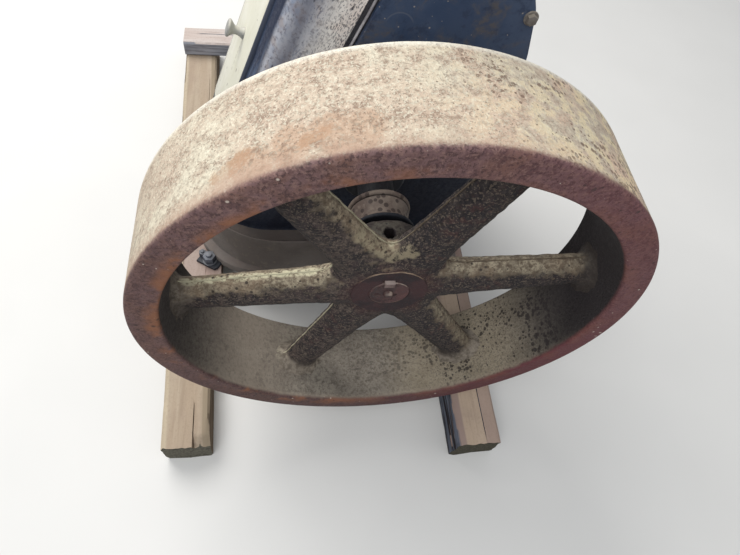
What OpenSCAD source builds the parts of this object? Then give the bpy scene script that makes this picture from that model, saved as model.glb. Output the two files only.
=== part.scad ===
// Upright enclosed steam engine with a wide overhung flywheel, standing on timber skids.
// X runs across the shaft, Y runs along the shaft away from the flywheel, Z is up.
// The sub-parts are drawn in the engine's own frame: X from the shaft's axis, Y from the
// flywheel's front face and Z from the ground.

/* [Flywheel] */
// Outer diameter of the flywheel
wheel_d = 1000; // [900:10:1080]
// Width of the flywheel's face
wheel_w = 212; // [180:2:230]
// Thickness of the rim at its two edges
rim_t = 54; // [40:1:70]
// How much thicker the rim is at its middle, where the arms join it
rim_swell = 9; // [0:1:20]
// Rounding of the rim's edges
rim_round = 8; // [3:1:14]
// Number of arms
arm_count = 6; // [5:1:8]
// Turn of the first arm from the horizontal, in degrees
arm_turn = 4.5; // [0:0.5:59]
// Width of an arm at the hub, in the plane of the wheel
arm_w_hub = 114; // [90:2:130]
// Width of an arm at the rim, in the plane of the wheel
arm_w_rim = 82; // [60:2:110]
// Thickness of an arm at the hub, along the shaft
arm_t_hub = 64; // [40:1:70]
// Thickness of an arm at the rim, along the shaft
arm_t_rim = 56; // [36:1:64]
// Distance of the arms' middle plane behind the rim's front edge
arm_y = 112; // [100:1:118]
// Radius of the fillet where an arm meets the rim
arm_fillet = 24; // [8:1:36]
// Radius of the round corners between neighbouring arms
web_fillet = 26; // [10:1:40]
// Thickness of the web in those corners
web_t = 38; // [20:2:60]
// Outer diameter of the hub
hub_d = 172; // [140:2:200]
// Length of the hub
hub_l = 126; // [100:2:150]
// Distance of the hub's front face behind the rim's front edge
hub_inset = 78; // [66:1:79]
// Diameter of the empty set screw hole in the hub
screw_hole_d = 22; // [12:1:28]
// Distance of the set screw hole in front of the hub's back face
screw_hole_inset = 31; // [22:1:45]

/* [Shaft] */
// Diameter of the crankshaft
shaft_d = 85; // [70:1:100]
// Height of the shaft's axis over the ground
shaft_z = 600; // [570:5:640]
// How far the shaft's near end stands out of the hub
shaft_proud = 2; // [0:1:20]
// Length of the shaft's turned down end beyond the far bearing
shaft_tail = 90; // [40:5:160]
// Diameter of the shaft's turned down end
shaft_tail_d = 80; // [60:1:84]
// Width of the flywheel's key
key_w = 26; // [18:1:30]
// Height of the flywheel's key
key_h = 18; // [12:1:22]
// How far the key stands out of the hub
key_proud = 8; // [0:1:20]
// Radial running clearance in the bearings
running_gap = 0.05; // [0.02:0.01:0.1]

/* [Governor drive pulley] */
// Distance of the pulley behind the flywheel's rim
pulley_gap = 15; // [8:1:30]
// Width of the pulley over its flanges
pulley_w = 75; // [50:1:90]
// Diameter of the pulley's flanges
pulley_flange_d = 150; // [130:2:180]
// Diameter of the pulley's belt face
pulley_face_d = 122; // [104:2:124]
// Thickness of each flange
pulley_flange_t = 9; // [5:1:14]
// How much thinner the belt face is at its middle
pulley_waist = 3; // [0:0.5:6]

/* [Timber skids] */
// Height of a skid
skid_h = 95; // [70:5:130]
// Width of a skid
skid_w = 121; // [90:1:150]
// Left skid's outer edge at its near end, to the left of the shaft's axis
left_skid_near_x = 543; // [520:1:580]
// Left skid's outer edge at its far end, to the left of the shaft's axis
left_skid_far_x = 602; // [560:1:620]
// How far the left skid reaches in front of the flywheel
left_skid_near_y = 80; // [0:5:200]
// Right skid's inner edge, to the right of the shaft's axis
right_skid_x = 250; // [220:1:270]
// How far the right skid reaches in front of the flywheel
right_skid_near_y = 125; // [0:5:200]
// Length of the right skid
skid_l = 1750; // [1700:10:2000]
// Height of the cross timber that lies on the skids' far ends
cross_h = 60; // [40:5:100]
// Width of the cross timber
cross_w = 100; // [60:5:140]
// How far the cross timber stays in front of the skids' far ends
cross_inset = 30; // [0:5:60]
// How far the cross timber reaches past the right skid
cross_over = 20; // [0:5:60]
// Height of the packing blocks under the engine's feet
packing_h = 25; // [15:1:45]
// Length of the packing blocks along the skids
packing_l = 150; // [100:5:180]
// Width of the packing blocks across the skids
packing_w = 118; // [100:2:130]
// Distance of the left packing blocks inside the skid's outer edge
packing_inset = 34; // [10:2:50]
// Length along the skid of the corner that's missing from the front left packing block
packing_cut_l = 46; // [20:2:60]
// Width across the skid of that missing corner
packing_cut_w = 26; // [10:2:34]

/* [Bedplate] */
// Distance of the bedplate's front wall behind the flywheel's front face
bed_y = 423; // [405:1:425]
// Length of the bedplate along the shaft
bed_l = 664; // [660:2:700]
// Bedplate's left side, to the left of the shaft's axis
bed_left = 485; // [475:1:495]
// Bedplate's right side, to the right of the shaft's axis
bed_right = 335; // [325:1:345]
// Height of the lip's top over the ground
bed_top_z = 300; // [285:5:320]
// Corner radius of the bedplate on its left side
bed_corner_left = 265; // [150:5:300]
// Corner radius of the bedplate on its right side
bed_corner_right = 120; // [60:5:200]
// Thickness of the foot flange
foot_t = 30; // [20:1:45]
// Corner radius of the foot flange on its left side
foot_corner_left = 200; // [150:5:240]
// Corner radius of the foot flange on its right side
foot_corner_right = 60; // [20:1:100]
// Width of the lip round the drip ledge
lip_w = 13; // [8:1:20]
// Height of the lip over the drip ledge
lip_h = 14; // [6:1:24]

/* [Crankcase] */
// Distance of the crankcase's front face behind the flywheel's front face
case_y = 480; // [475:1:490]
// Length of the crankcase along the shaft
case_l = 560; // [540:2:570]
// Left wall at the shaft's height, to the left of the shaft's axis
case_left = 345; // [338:1:352]
// Slope of the left wall from the vertical, in degrees
case_lean = 21; // [19:0.5:21.5]
// Right wall, to the right of the shaft's axis
case_right = 302; // [296:1:306]
// Height over the ground at which the right wall starts to lean in
case_shoulder_z = 890; // [860:5:920]
// How far the right wall leans in at the top
case_shoulder = 62; // [40:2:80]
// Share of that lean at half the shoulder's height
shoulder_share = 0.32; // [0.1:0.02:0.45]
// Height of the crankcase's deck over the ground
case_top_z = 1088; // [1070:2:1100]
// Radius of the upright corners on the left side
case_corner_left = 80; // [60:5:85]
// Radius of those corners at their foot
case_corner_foot = 220; // [160:5:222]
// Height over the ground at which the left corners reach their upright radius
case_corner_z = 450; // [400:10:470]
// Radius of the upright corners on the right side
case_corner_right = 30; // [16:1:50]
// Chamfer round the deck
deck_chamfer = 13; // [6:1:20]

/* [Covers] */
// Thickness of the front and back panels
panel_t = 10; // [6:1:12]
// Height of the panels' lower edge over the ground
panel_low_z = 745; // [735:5:780]
// Height of the panels' upper edge over the ground
panel_top_z = 1052; // [1040:2:1060]
// Left end of the front panel's lower edge, to the left of the shaft's axis
panel_left_low = 163; // [150:1:175]
// Left end of the front panel's upper edge, to the left of the shaft's axis
panel_left_top = 13; // [5:1:30]
// Bead along the front panel's left edge
panel_bead = 12; // [8:1:18]
// Width of the groove between that bead and the panel
panel_groove = 2; // [1:1:5]
// Margin between the panels and the crankcase's right edge
panel_margin = 7; // [4:1:12]
// Thickness of the side covers
side_cover_t = 12; // [6:1:16]
// Width of the side covers along the shaft
side_cover_w = 278; // [200:2:280]
// How far the side covers sit forward of the crankcase's middle, towards the flywheel
cover_shift = 58; // [40:2:60]
// Height over the ground of the left cover's lower edge
left_cover_low_z = 475; // [440:5:520]
// Length of the left cover along its slope
left_cover_l = 590; // [400:5:600]
// Height over the ground of the right cover's lower edge
right_cover_low_z = 455; // [440:5:520]
// Height of the right cover
right_cover_h = 430; // [300:5:430]
// Length of a cover's hand knob
knob_l = 48; // [30:1:60]
// Diameter of a hand knob's head
knob_d = 42; // [28:1:50]
// Height of the hand knobs over the ground
knob_z = 752; // [700:2:780]

/* [Bearings] */
// Length that the bearings stand out of the crankcase
bearing_l = 92; // [70:1:100]
// Outer diameter of the bearings
bearing_d = 150; // [130:2:160]
// Diameter of the bearings' flanges
bearing_flange_d = 240; // [210:5:250]
// Thickness of the bearings' flanges
bearing_flange_t = 20; // [14:1:28]
// Diameter of the oil cup's boss on a bearing
oil_boss_d = 34; // [24:1:44]
// Height of the oil cup's boss over the bearing
oil_boss_h = 16; // [8:1:22]
// Radial clearance of the shaft in the crankcase
case_bore_gap = 6; // [3:0.5:10]

/* [Guide barrel] */
// Diameter of the crosshead guide barrel
barrel_d = 226; // [200:2:240]
// Height of the guide barrel over its flanges
barrel_h = 190; // [160:5:220]
// Diameter of the barrel's flanges
barrel_flange_d = 296; // [280:2:300]
// Thickness of the barrel's flanges
barrel_flange_t = 22; // [16:1:30]

/* [Cylinder] */
// Diameter of the lagged cylinder
cylinder_d = 286; // [260:2:300]
// Height of the cylinder
cylinder_h = 270; // [240:5:300]
// Diameter of the cylinder's flanges and cover
cylinder_flange_d = 312; // [304:2:330]
// Thickness of the cylinder's flanges
cylinder_flange_t = 24; // [18:1:30]
// Thickness of the cylinder cover
cover_t = 22; // [16:1:30]
// Diameter of the cylinder cover's raised middle
cover_mid_d = 194; // [150:2:220]
// Height of the cylinder cover's raised middle
cover_mid_h = 14; // [6:1:20]
// Width of the steam chest across the shaft
chest_w = 190; // [160:2:220]
// Depth of the steam chest along the shaft
chest_l = 105; // [80:5:120]
// Height of the steam chest
chest_h = 220; // [180:5:230]
// Thickness of the steam chest's cover
chest_cover_t = 20; // [14:1:26]
// Clearance between the steam chest's back and the cylinder's flanges
chest_gap = 1; // [0.5:0.5:6]
// Diameter of the valve rod
valve_rod_d = 22; // [16:1:28]
// Diameter of the valve rod's gland under the steam chest
gland_d = 52; // [40:1:64]
// Height of the gland
gland_h = 26; // [18:1:34]
// Diameter of the valve rod's guide on the deck
rod_guide_d = 50; // [38:1:56]
// Height of the valve rod's guide
rod_guide_h = 70; // [40:2:90]
// Diameter of the guide's foot
rod_guide_foot_d = 84; // [70:1:88]
// Thickness of the guide's foot
rod_guide_foot_t = 16; // [10:1:20]
// Least clearance between the guide's foot and the barrel's lower flange
rod_guide_gap = 6; // [2:1:10]

/* [Steam pipes] */
// Length of the steam inlet over the steam chest
inlet_l = 80; // [60:5:100]
// Bore of the steam inlet
inlet_bore = 50; // [30:1:60]
// Diameter of the steam inlet's flange
inlet_flange_d = 140; // [120:2:150]
// Bolt circle of the steam inlet's flange
inlet_pcd = 108; // [94:1:116]
// Length of the exhaust outside the cylinder
exhaust_l = 72; // [60:2:100]
// Bore of the exhaust
exhaust_bore = 62; // [40:1:70]
// Diameter of the exhaust's flange
exhaust_flange_d = 160; // [140:2:170]
// Bolt circle of the exhaust's flange
exhaust_pcd = 126; // [110:1:134]
// Thickness of both pipe flanges
pipe_flange_t = 18; // [12:1:24]
// Bolt hole in both pipe flanges
pipe_hole_d = 14; // [9:1:18]
// Bolts in each pipe flange
pipe_bolts = 4; // [4:1:8]
// Thickness of the pipes' walls
pipe_wall = 9; // [6:1:14]

/* [Hidden] */
$fn = 64;

// Small gap at which a loose piece lies on a sloping seat or stands over the deck
seat_gap = 0.3;
// Gap round the key and the valve rod
slide_gap = 0.1;
// Height of the thin discs that the crankcase is stretched over
disc_h = 0.01;
// How far a cutting tool passes a face
past = 1;
// Distance between the far bearing and the step in the shaft
step_gap = 10;
// How far the exhaust's boss stands out of the cylinder
exhaust_boss = 6;
wheel_r = wheel_d / 2;
wheel_mid_y = wheel_w / 2;
rim_inner_r = wheel_r - rim_t;
hub_back_y = hub_inset + hub_l;
shaft_near_y = hub_inset - shaft_proud;
pulley_y = wheel_w + pulley_gap;

far_y = skid_l - right_skid_near_y;
left_skid_slope = (left_skid_far_x - left_skid_near_x) / (far_y + left_skid_near_y);
bed_back_y = bed_y + bed_l;
bed_low_z = skid_h + packing_h;
ledge_z = bed_top_z - lip_h;
case_back_y = case_y + case_l;
case_mid_y = case_y + case_l / 2;
cover_mid_y = case_mid_y - cover_shift;
shoulder_mid_z = (case_shoulder_z + case_top_z) / 2;
shoulder_mid_x = case_right - shoulder_share * case_shoulder;
// Share of the shoulder's lean at the panels' upper edge
panel_top_share = 0.78;
far_bearing_end = case_back_y + bearing_l;
shaft_step_y = far_bearing_end + step_gap;
shaft_far_y = shaft_step_y + shaft_tail;
key_z = shaft_z + shaft_d / 2 - key_h / 2;
// Length of the web's points over the hub's diameter, and their width over an arm's
web_reach = 1.25;
web_share = 0.6;
centre_hole_d = 14;
centre_hole_h = 6;

barrel_z = case_top_z;
cylinder_z = barrel_z + barrel_h;
cylinder_top_z = cylinder_z + cylinder_h;
chest_z = cylinder_z + (cylinder_h - chest_h) / 2;
// Distance of the valve rod from the cylinder's axis, clear of the wider flange
valve_line = max(
    (cylinder_flange_d + chest_l) / 2 + chest_gap,
    (barrel_flange_d + rod_guide_foot_d) / 2 + rod_guide_gap
);
chest_mid_y = case_mid_y - valve_line;
chest_y = chest_mid_y - chest_l / 2;
port_y = chest_y + chest_l;
exhaust_seat_x = cylinder_d / 2 + exhaust_boss;
pipe_h = cylinder_z + cylinder_h / 2;

// The box of the whole engine, which places the origin under its middle
left_reach = left_skid_far_x;
origin_x = (left_reach - wheel_r) / 2;
origin_y = right_skid_near_y - skid_l / 2;

module engine_frame() {
    translate([origin_x, origin_y, 0])
        children();
}

// Left skid's outer edge at a distance y from the flywheel's front face
function left_skid_x(y) = -(left_skid_near_x + (y + left_skid_near_y) * left_skid_slope);

// Left wall of the crankcase at a height z
function case_left_x(z) = -case_left + (z - shaft_z) * tan(case_lean);

// A cylinder along the shaft, from y to y + l
module along_shaft(y, l, d) {
    translate([0, y, shaft_z])
        rotate([-90, 0, 0])
            cylinder(h = l, d = d);
}

// Plan of a block with one corner radius on its left and one on its right
module rounded_plan(left, right, low, high, r_left, r_right) {
    translate([left + r_left, low])
        square([right - left - r_left - r_right, high - low]);
    translate([left, low + r_left])
        square([r_left + past, high - low - 2 * r_left]);
    translate([right - r_right - past, low + r_right])
        square([r_right + past, high - low - 2 * r_right]);
    for (y = [low + r_left, high - r_left])
        translate([left + r_left, y])
            circle(r = r_left);
    for (y = [low + r_right, high - r_right])
        translate([right - r_right, y])
            circle(r = r_right);
}

module left_skid() {
    color("#a8937a")
        engine_frame()
            linear_extrude(skid_h)
                polygon([
                    [left_skid_x(-left_skid_near_y), -left_skid_near_y],
                    [left_skid_x(-left_skid_near_y) + skid_w, -left_skid_near_y],
                    [left_skid_x(far_y) + skid_w, far_y],
                    [left_skid_x(far_y), far_y]
                ]);
}

module right_skid() {
    color("#9d8a76")
        engine_frame()
            translate([right_skid_x, -right_skid_near_y, 0])
                cube([skid_w, skid_l, skid_h]);
}

module cross_timber() {
    cross_y = far_y - cross_inset - cross_w;
    cross_left = left_skid_x(cross_y);
    color("#b09a84")
        engine_frame()
            translate([cross_left, cross_y, skid_h])
                cube([right_skid_x + skid_w + cross_over - cross_left, cross_w, cross_h]);
}

// A packing block between a skid and the bedplate, at its left front corner
module packing(x, y) {
    color("#b39a86")
        engine_frame()
            translate([x, y, skid_h])
                cube([packing_w, packing_l, packing_h]);
}

module front_left_packing() {
    left = left_skid_x(bed_y) + packing_inset;
    difference() {
        packing(left, bed_y);
        engine_frame()
            translate([left, bed_y, skid_h - past])
                linear_extrude(packing_h + 2 * past)
                    polygon([
                        [-past, -past],
                        [packing_cut_w, -past],
                        [-past, packing_cut_l]
                    ]);
    }
}

module front_right_packing() {
    packing(right_skid_x, bed_y);
}

module back_left_packing() {
    packing(left_skid_x(bed_back_y) + packing_inset, bed_back_y - packing_l);
}

module back_right_packing() {
    packing(right_skid_x, bed_back_y - packing_l);
}

module bedplate() {
    color("#5b544c")
        engine_frame() {
            translate([0, 0, bed_low_z])
                linear_extrude(foot_t)
                    rounded_plan(-bed_left, bed_right, bed_y, bed_back_y,
                        foot_corner_left, foot_corner_right);
            difference() {
                translate([0, 0, bed_low_z])
                    linear_extrude(bed_top_z - bed_low_z)
                        rounded_plan(-bed_left, bed_right, bed_y, bed_back_y,
                            bed_corner_left, bed_corner_right);
                translate([0, 0, ledge_z])
                    linear_extrude(lip_h + past)
                        rounded_plan(lip_w - bed_left, bed_right - lip_w, bed_y + lip_w,
                            bed_back_y - lip_w, bed_corner_left - lip_w,
                            bed_corner_right - lip_w);
            }
        }
}

// Four upright corner discs of the crankcase at height z, drawn in by inset
module case_section(z, right, corner, inset) {
    left = case_left_x(z);
    for (y = [case_y + corner, case_back_y - corner])
        translate([left + corner, y, z])
            cylinder(h = disc_h, r = corner - inset, $fn = 48);
    for (y = [case_y + case_corner_right, case_back_y - case_corner_right])
        translate([right - case_corner_right, y, z])
            cylinder(h = disc_h, r = case_corner_right - inset, $fn = 32);
}

module case_body() {
    hull() {
        case_section(ledge_z, case_right, case_corner_foot, 0);
        case_section(case_corner_z, case_right, case_corner_left, 0);
        case_section(case_shoulder_z, case_right, case_corner_left, 0);
        case_section(shoulder_mid_z, shoulder_mid_x, case_corner_left, 0);
        case_section(case_top_z - deck_chamfer, case_right - case_shoulder, case_corner_left, 0);
        case_section(case_top_z - disc_h, case_right - case_shoulder, case_corner_left,
            deck_chamfer);
    }
}

module crankcase() {
    color("#4b4d50")
        engine_frame()
            difference() {
                case_body();
                along_shaft(case_y - past, case_l + 2 * past, shaft_d + 2 * case_bore_gap);
            }
}

// Outline of an end panel, seen from the front
module panel_outline() {
    right = case_right - panel_margin;
    polygon([
        [-panel_left_low, panel_low_z],
        [right, panel_low_z],
        [right, case_shoulder_z],
        [shoulder_mid_x - panel_margin, shoulder_mid_z],
        [right - panel_top_share * case_shoulder, panel_top_z],
        [-panel_left_top, panel_top_z]
    ]);
}

module front_panel() {
    color("#23262c")
        engine_frame()
            translate([0, case_y, 0])
                rotate([90, 0, 0])
                    linear_extrude(panel_t)
                        panel_outline();
}

module front_panel_bead() {
    run = panel_left_low - panel_left_top;
    rise = panel_top_z - panel_low_z;
    color("#8d8983")
        engine_frame()
            translate([-panel_left_low, case_y, panel_low_z])
                rotate([0, atan(run / rise), 0])
                    translate([-panel_bead - panel_groove, -panel_bead, 0])
                        cube([panel_bead, panel_bead, norm([run, rise])]);
}

module back_panel() {
    color("#2c2e33")
        engine_frame()
            translate([0, case_back_y + panel_t, 0])
                rotate([90, 0, 0])
                    linear_extrude(panel_t)
                        panel_outline();
}

// Moves its children onto the sloping left wall, at a height z, with their Z out of the wall
module on_left_wall(z) {
    translate([case_left_x(z), cover_mid_y, z])
        rotate([0, case_lean - 90, 0])
            children();
}

module left_cover() {
    color("#d6d2bd")
        engine_frame()
            on_left_wall(left_cover_low_z)
                translate([0, -side_cover_w / 2, seat_gap])
                    cube([left_cover_l, side_cover_w, side_cover_t]);
}

module right_cover() {
    color("#cfcab5")
        engine_frame()
            translate([case_right, cover_mid_y - side_cover_w / 2, right_cover_low_z])
                cube([side_cover_t, side_cover_w, right_cover_h]);
}

// Turned hand knob that stands on z = 0
module knob() {
    rotate_extrude()
        polygon([
            [0, 0],
            [0.34 * knob_d, 0],
            [0.3 * knob_d, 0.12 * knob_l],
            [0.2 * knob_d, 0.3 * knob_l],
            [0.2 * knob_d, 0.5 * knob_l],
            [0.3 * knob_d, 0.66 * knob_l],
            [0.46 * knob_d, 0.78 * knob_l],
            [0.5 * knob_d, 0.88 * knob_l],
            [0.44 * knob_d, 0.97 * knob_l],
            [0.2 * knob_d, knob_l],
            [0, knob_l]
        ]);
}

module left_cover_knob() {
    color("#b5b2a8")
        engine_frame()
            on_left_wall(knob_z)
                translate([0, 0, side_cover_t + seat_gap])
                    knob();
}

module right_cover_knob() {
    color("#b5b2a8")
        engine_frame()
            translate([case_right + side_cover_t, cover_mid_y, knob_z])
                rotate([0, 90, 0])
                    knob();
}

// Main bearing: a bored barrel with a flange that lies on the crankcase at y = 0
module bearing() {
    difference() {
        union() {
            rotate([90, 0, 0])
                cylinder(h = bearing_flange_t, d = bearing_flange_d);
            rotate([90, 0, 0])
                cylinder(h = bearing_l, d = bearing_d);
            translate([0, -(bearing_l + bearing_flange_t) / 2, 0])
                cylinder(h = bearing_d / 2 + oil_boss_h, d = oil_boss_d);
        }
        translate([0, past, 0])
            rotate([90, 0, 0])
                cylinder(h = bearing_l + 2 * past, r = shaft_d / 2 + running_gap);
    }
}

module near_bearing() {
    color("#4f4b45")
        engine_frame()
            translate([0, case_y, shaft_z])
                bearing();
}

module far_bearing() {
    color("#4f4b45")
        engine_frame()
            translate([0, case_back_y, shaft_z])
                mirror([0, 1, 0])
                    bearing();
}

module crankshaft() {
    color("#6b5a4c")
        engine_frame()
            difference() {
                union() {
                    along_shaft(shaft_near_y, shaft_step_y - shaft_near_y, shaft_d);
                    along_shaft(shaft_step_y, shaft_far_y - shaft_step_y, shaft_tail_d);
                }
                translate([-key_w / 2, shaft_near_y - past, key_z])
                    cube([key_w, hub_l + shaft_proud + past, key_h]);
                translate([0, shaft_near_y, shaft_z])
                    rotate([-90, 0, 0])
                        cylinder(h = centre_hole_h, d1 = centre_hole_d, d2 = 0);
            }
}

// Half width and half thickness of an arm at the distance s from the shaft's axis
function arm_share(s) = (s - hub_d / 2) / (rim_inner_r - hub_d / 2);
function arm_flare(s) =
    let (u = max(0, s - (rim_inner_r - rim_swell - arm_fillet)))
    arm_fillet - sqrt(max(0, arm_fillet * arm_fillet - min(u, arm_fillet) * min(u, arm_fillet)));
function arm_half_w(s) = (arm_w_hub + (arm_w_rim - arm_w_hub) * arm_share(s)) / 2 + arm_flare(s);
function arm_half_t(s) = (arm_t_hub + (arm_t_rim - arm_t_hub) * arm_share(s)) / 2 + arm_flare(s);

// One tapered arm of oval section along +X, swept as rings of points
module arm() {
    sides = 20;
    hub_sink = 16;
    rim_sink = 10;
    fillet_start = rim_inner_r - rim_swell - arm_fillet;
    stations = [
        hub_d / 2 - hub_sink,
        (hub_d / 2 + fillet_start) / 2,
        fillet_start,
        fillet_start + 0.4 * arm_fillet,
        fillet_start + 0.7 * arm_fillet,
        fillet_start + 0.9 * arm_fillet,
        fillet_start + arm_fillet,
        rim_inner_r + rim_sink
    ];
    points = [
        for (s = stations)
            for (k = [0 : sides - 1])
                let (a = 360 * k / sides)
                [s, arm_half_t(s) * sin(a), arm_half_w(s) * cos(a)]
    ];
    last = len(stations) - 1;
    faces = concat(
        [[for (k = [sides - 1 : -1 : 0]) k]],
        [[for (k = [0 : sides - 1]) last * sides + k]],
        [
            for (j = [0 : last - 1])
                for (k = [0 : sides - 1])
                    let (a = j * sides + k, b = j * sides + (k + 1) % sides)
                    [a, b, a + sides]
        ],
        [
            for (j = [0 : last - 1])
                for (k = [0 : sides - 1])
                    let (a = j * sides + k, b = j * sides + (k + 1) % sides)
                    [b, b + sides, a + sides]
        ]
    );
    polyhedron(points = points, faces = faces);
}

// Star of the arms' inner ends, seen from the front, with its inward corners rounded
module arm_web() {
    reach = web_reach * hub_d;
    offset(r = -web_fillet)
        offset(r = web_fillet)
            for (k = [0 : arm_count - 1])
                rotate(arm_turn + 360 * k / arm_count)
                    polygon([
                        [0, -arm_half_w(hub_d / 2)],
                        [hub_d / 2, -arm_half_w(hub_d / 2)],
                        [reach, -web_share * arm_half_w(reach)],
                        [reach, web_share * arm_half_w(reach)],
                        [hub_d / 2, arm_half_w(hub_d / 2)],
                        [0, arm_half_w(hub_d / 2)]
                    ]);
}

// Section of the rim, with X as the radius and Y along the shaft
module rim_section() {
    difference() {
        polygon([
            [rim_inner_r, 0],
            [wheel_r, 0],
            [wheel_r, wheel_w],
            [rim_inner_r, wheel_w],
            [rim_inner_r - rim_swell, wheel_mid_y]
        ]);
        for (y = [0, wheel_w])
            translate([wheel_r, y])
                difference() {
                    square(2 * rim_round, center = true);
                    translate([-rim_round, y == 0 ? rim_round : -rim_round])
                        circle(r = rim_round);
                }
    }
}

module flywheel() {
    color("#a6937c")
        engine_frame()
            difference() {
                union() {
                    translate([0, 0, shaft_z])
                        rotate([90, 0, 0])
                            mirror([0, 0, 1])
                                rotate_extrude($fn = 128)
                                    rim_section();
                    along_shaft(hub_inset, hub_l, hub_d);
                    for (k = [0 : arm_count - 1])
                        translate([0, arm_y, shaft_z])
                            rotate([0, -arm_turn - 360 * k / arm_count, 0])
                                arm();
                    translate([0, arm_y + web_t / 2, shaft_z])
                        rotate([90, 0, 0])
                            linear_extrude(web_t)
                                arm_web();
                }
                along_shaft(hub_inset - past, hub_l + 2 * past, shaft_d + 2 * running_gap);
                translate([-key_w / 2, hub_inset - past, shaft_z])
                    cube([key_w, hub_l + 2 * past, shaft_d / 2 + key_h / 2]);
                translate([0, hub_back_y - screw_hole_inset, shaft_z])
                    cylinder(h = hub_d / 2 + past, d = screw_hole_d);
            }
}

module flywheel_key() {
    color("#6a4a3c")
        engine_frame()
            translate([slide_gap - key_w / 2, shaft_near_y - key_proud, key_z + slide_gap])
                cube([
                    key_w - 2 * slide_gap,
                    hub_l + shaft_proud + key_proud - slide_gap,
                    key_h - 2 * slide_gap
                ]);
}

// Section of the pulley, with X as the radius and Y along the shaft
module pulley_section() {
    bore = shaft_d / 2 + running_gap;
    face = pulley_face_d / 2;
    flange = pulley_flange_d / 2;
    edge = pulley_flange_t / 4;
    foot = pulley_flange_t + edge;
    polygon([
        [bore, 0],
        [flange - edge, 0],
        [flange, edge],
        [flange, pulley_flange_t - edge],
        [face + edge, foot],
        [face - pulley_waist, pulley_w / 2],
        [face + edge, pulley_w - foot],
        [flange, pulley_w - pulley_flange_t + edge],
        [flange, pulley_w - edge],
        [flange - edge, pulley_w],
        [bore, pulley_w]
    ]);
}

module governor_drive_pulley() {
    color("#8f8272")
        engine_frame()
            translate([0, pulley_y, shaft_z])
                rotate([-90, 0, 0])
                    rotate_extrude()
                        pulley_section();
}

module guide_barrel() {
    color("#494b4d")
        engine_frame()
            translate([0, case_mid_y, barrel_z]) {
                cylinder(h = barrel_h, d = barrel_d);
                cylinder(h = barrel_flange_t, d = barrel_flange_d);
                translate([0, 0, barrel_h - barrel_flange_t])
                    cylinder(h = barrel_flange_t, d = barrel_flange_d);
            }
}

module cylinder_block() {
    translate([0, case_mid_y, cylinder_z]) {
        cylinder(h = cylinder_h, d = cylinder_d);
        cylinder(h = cylinder_flange_t, d = cylinder_flange_d);
        translate([0, 0, cylinder_h - cylinder_flange_t])
            cylinder(h = cylinder_flange_t, d = cylinder_flange_d);
    }
}

module steam_cylinder() {
    color("#3c3f43")
        engine_frame()
            difference() {
                union() {
                    cylinder_block();
                    translate([-chest_w / 2, port_y, chest_z])
                        cube([chest_w, case_mid_y - cylinder_d / 4 - port_y, chest_h]);
                    translate([0, case_mid_y, pipe_h])
                        rotate([0, 90, 0])
                            cylinder(h = exhaust_seat_x, d = exhaust_bore + 4 * pipe_wall);
                }
                translate([0, case_mid_y, pipe_h])
                    rotate([0, 90, 0])
                        cylinder(h = cylinder_d, d = exhaust_bore);
            }
}

module cylinder_cover() {
    color("#4a4c4e")
        engine_frame()
            translate([0, case_mid_y, cylinder_top_z]) {
                cylinder(h = cover_t, d = cylinder_flange_d);
                cylinder(h = cover_t + cover_mid_h, d = cover_mid_d);
            }
}

module steam_chest() {
    color("#45474a")
        engine_frame()
            difference() {
                union() {
                    translate([-chest_w / 2, chest_y, chest_z])
                        cube([chest_w, chest_l, chest_h]);
                    translate([0, chest_mid_y, chest_z - gland_h])
                        cylinder(h = gland_h, d = gland_d);
                }
                translate([0, chest_mid_y, chest_z - gland_h - past])
                    cylinder(h = 2 * gland_h + 2 * past, d = valve_rod_d + 2 * slide_gap);
                translate([0, chest_mid_y, chest_z + chest_h / 2])
                    cylinder(h = chest_h, d = inlet_bore);
            }
}

module steam_chest_cover() {
    color("#3a3c3f")
        engine_frame()
            translate([-chest_w / 2, chest_y - chest_cover_t, chest_z])
                cube([chest_w, chest_cover_t, chest_h]);
}

module valve_rod() {
    color("#7c7a76")
        engine_frame()
            translate([0, chest_mid_y, case_top_z + seat_gap])
                cylinder(h = chest_z - case_top_z + gland_h, d = valve_rod_d);
}

module valve_rod_guide() {
    color("#4a4c4e")
        engine_frame()
            translate([0, chest_mid_y, case_top_z])
                difference() {
                    union() {
                        cylinder(h = rod_guide_foot_t, d = rod_guide_foot_d);
                        cylinder(h = rod_guide_h, d = rod_guide_d);
                    }
                    translate([0, 0, -past])
                        cylinder(h = rod_guide_h + 2 * past, d = valve_rod_d + 2 * slide_gap);
                }
}

// A pipe stub along +Z from its seat, with a drilled flange at its end
module pipe_stub(length, bore, flange_d, pcd) {
    difference() {
        union() {
            cylinder(h = length, d = bore + 2 * pipe_wall);
            translate([0, 0, length - pipe_flange_t])
                cylinder(h = pipe_flange_t, d = flange_d);
        }
        translate([0, 0, -past])
            cylinder(h = length + 2 * past, d = bore);
        for (k = [0 : pipe_bolts - 1])
            rotate(180 * (2 * k + 1) / pipe_bolts)
                translate([pcd / 2, 0, length - pipe_flange_t - past])
                    cylinder(h = pipe_flange_t + 2 * past, d = pipe_hole_d);
    }
}

module steam_inlet() {
    color("#4a4540")
        engine_frame()
            translate([0, chest_mid_y, chest_z + chest_h])
                pipe_stub(inlet_l, inlet_bore, inlet_flange_d, inlet_pcd);
}

module exhaust_outlet() {
    color("#4a4540")
        engine_frame()
            translate([exhaust_seat_x, case_mid_y, pipe_h])
                rotate([0, 90, 0])
                    pipe_stub(exhaust_l, exhaust_bore, exhaust_flange_d, exhaust_pcd);
}

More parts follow.
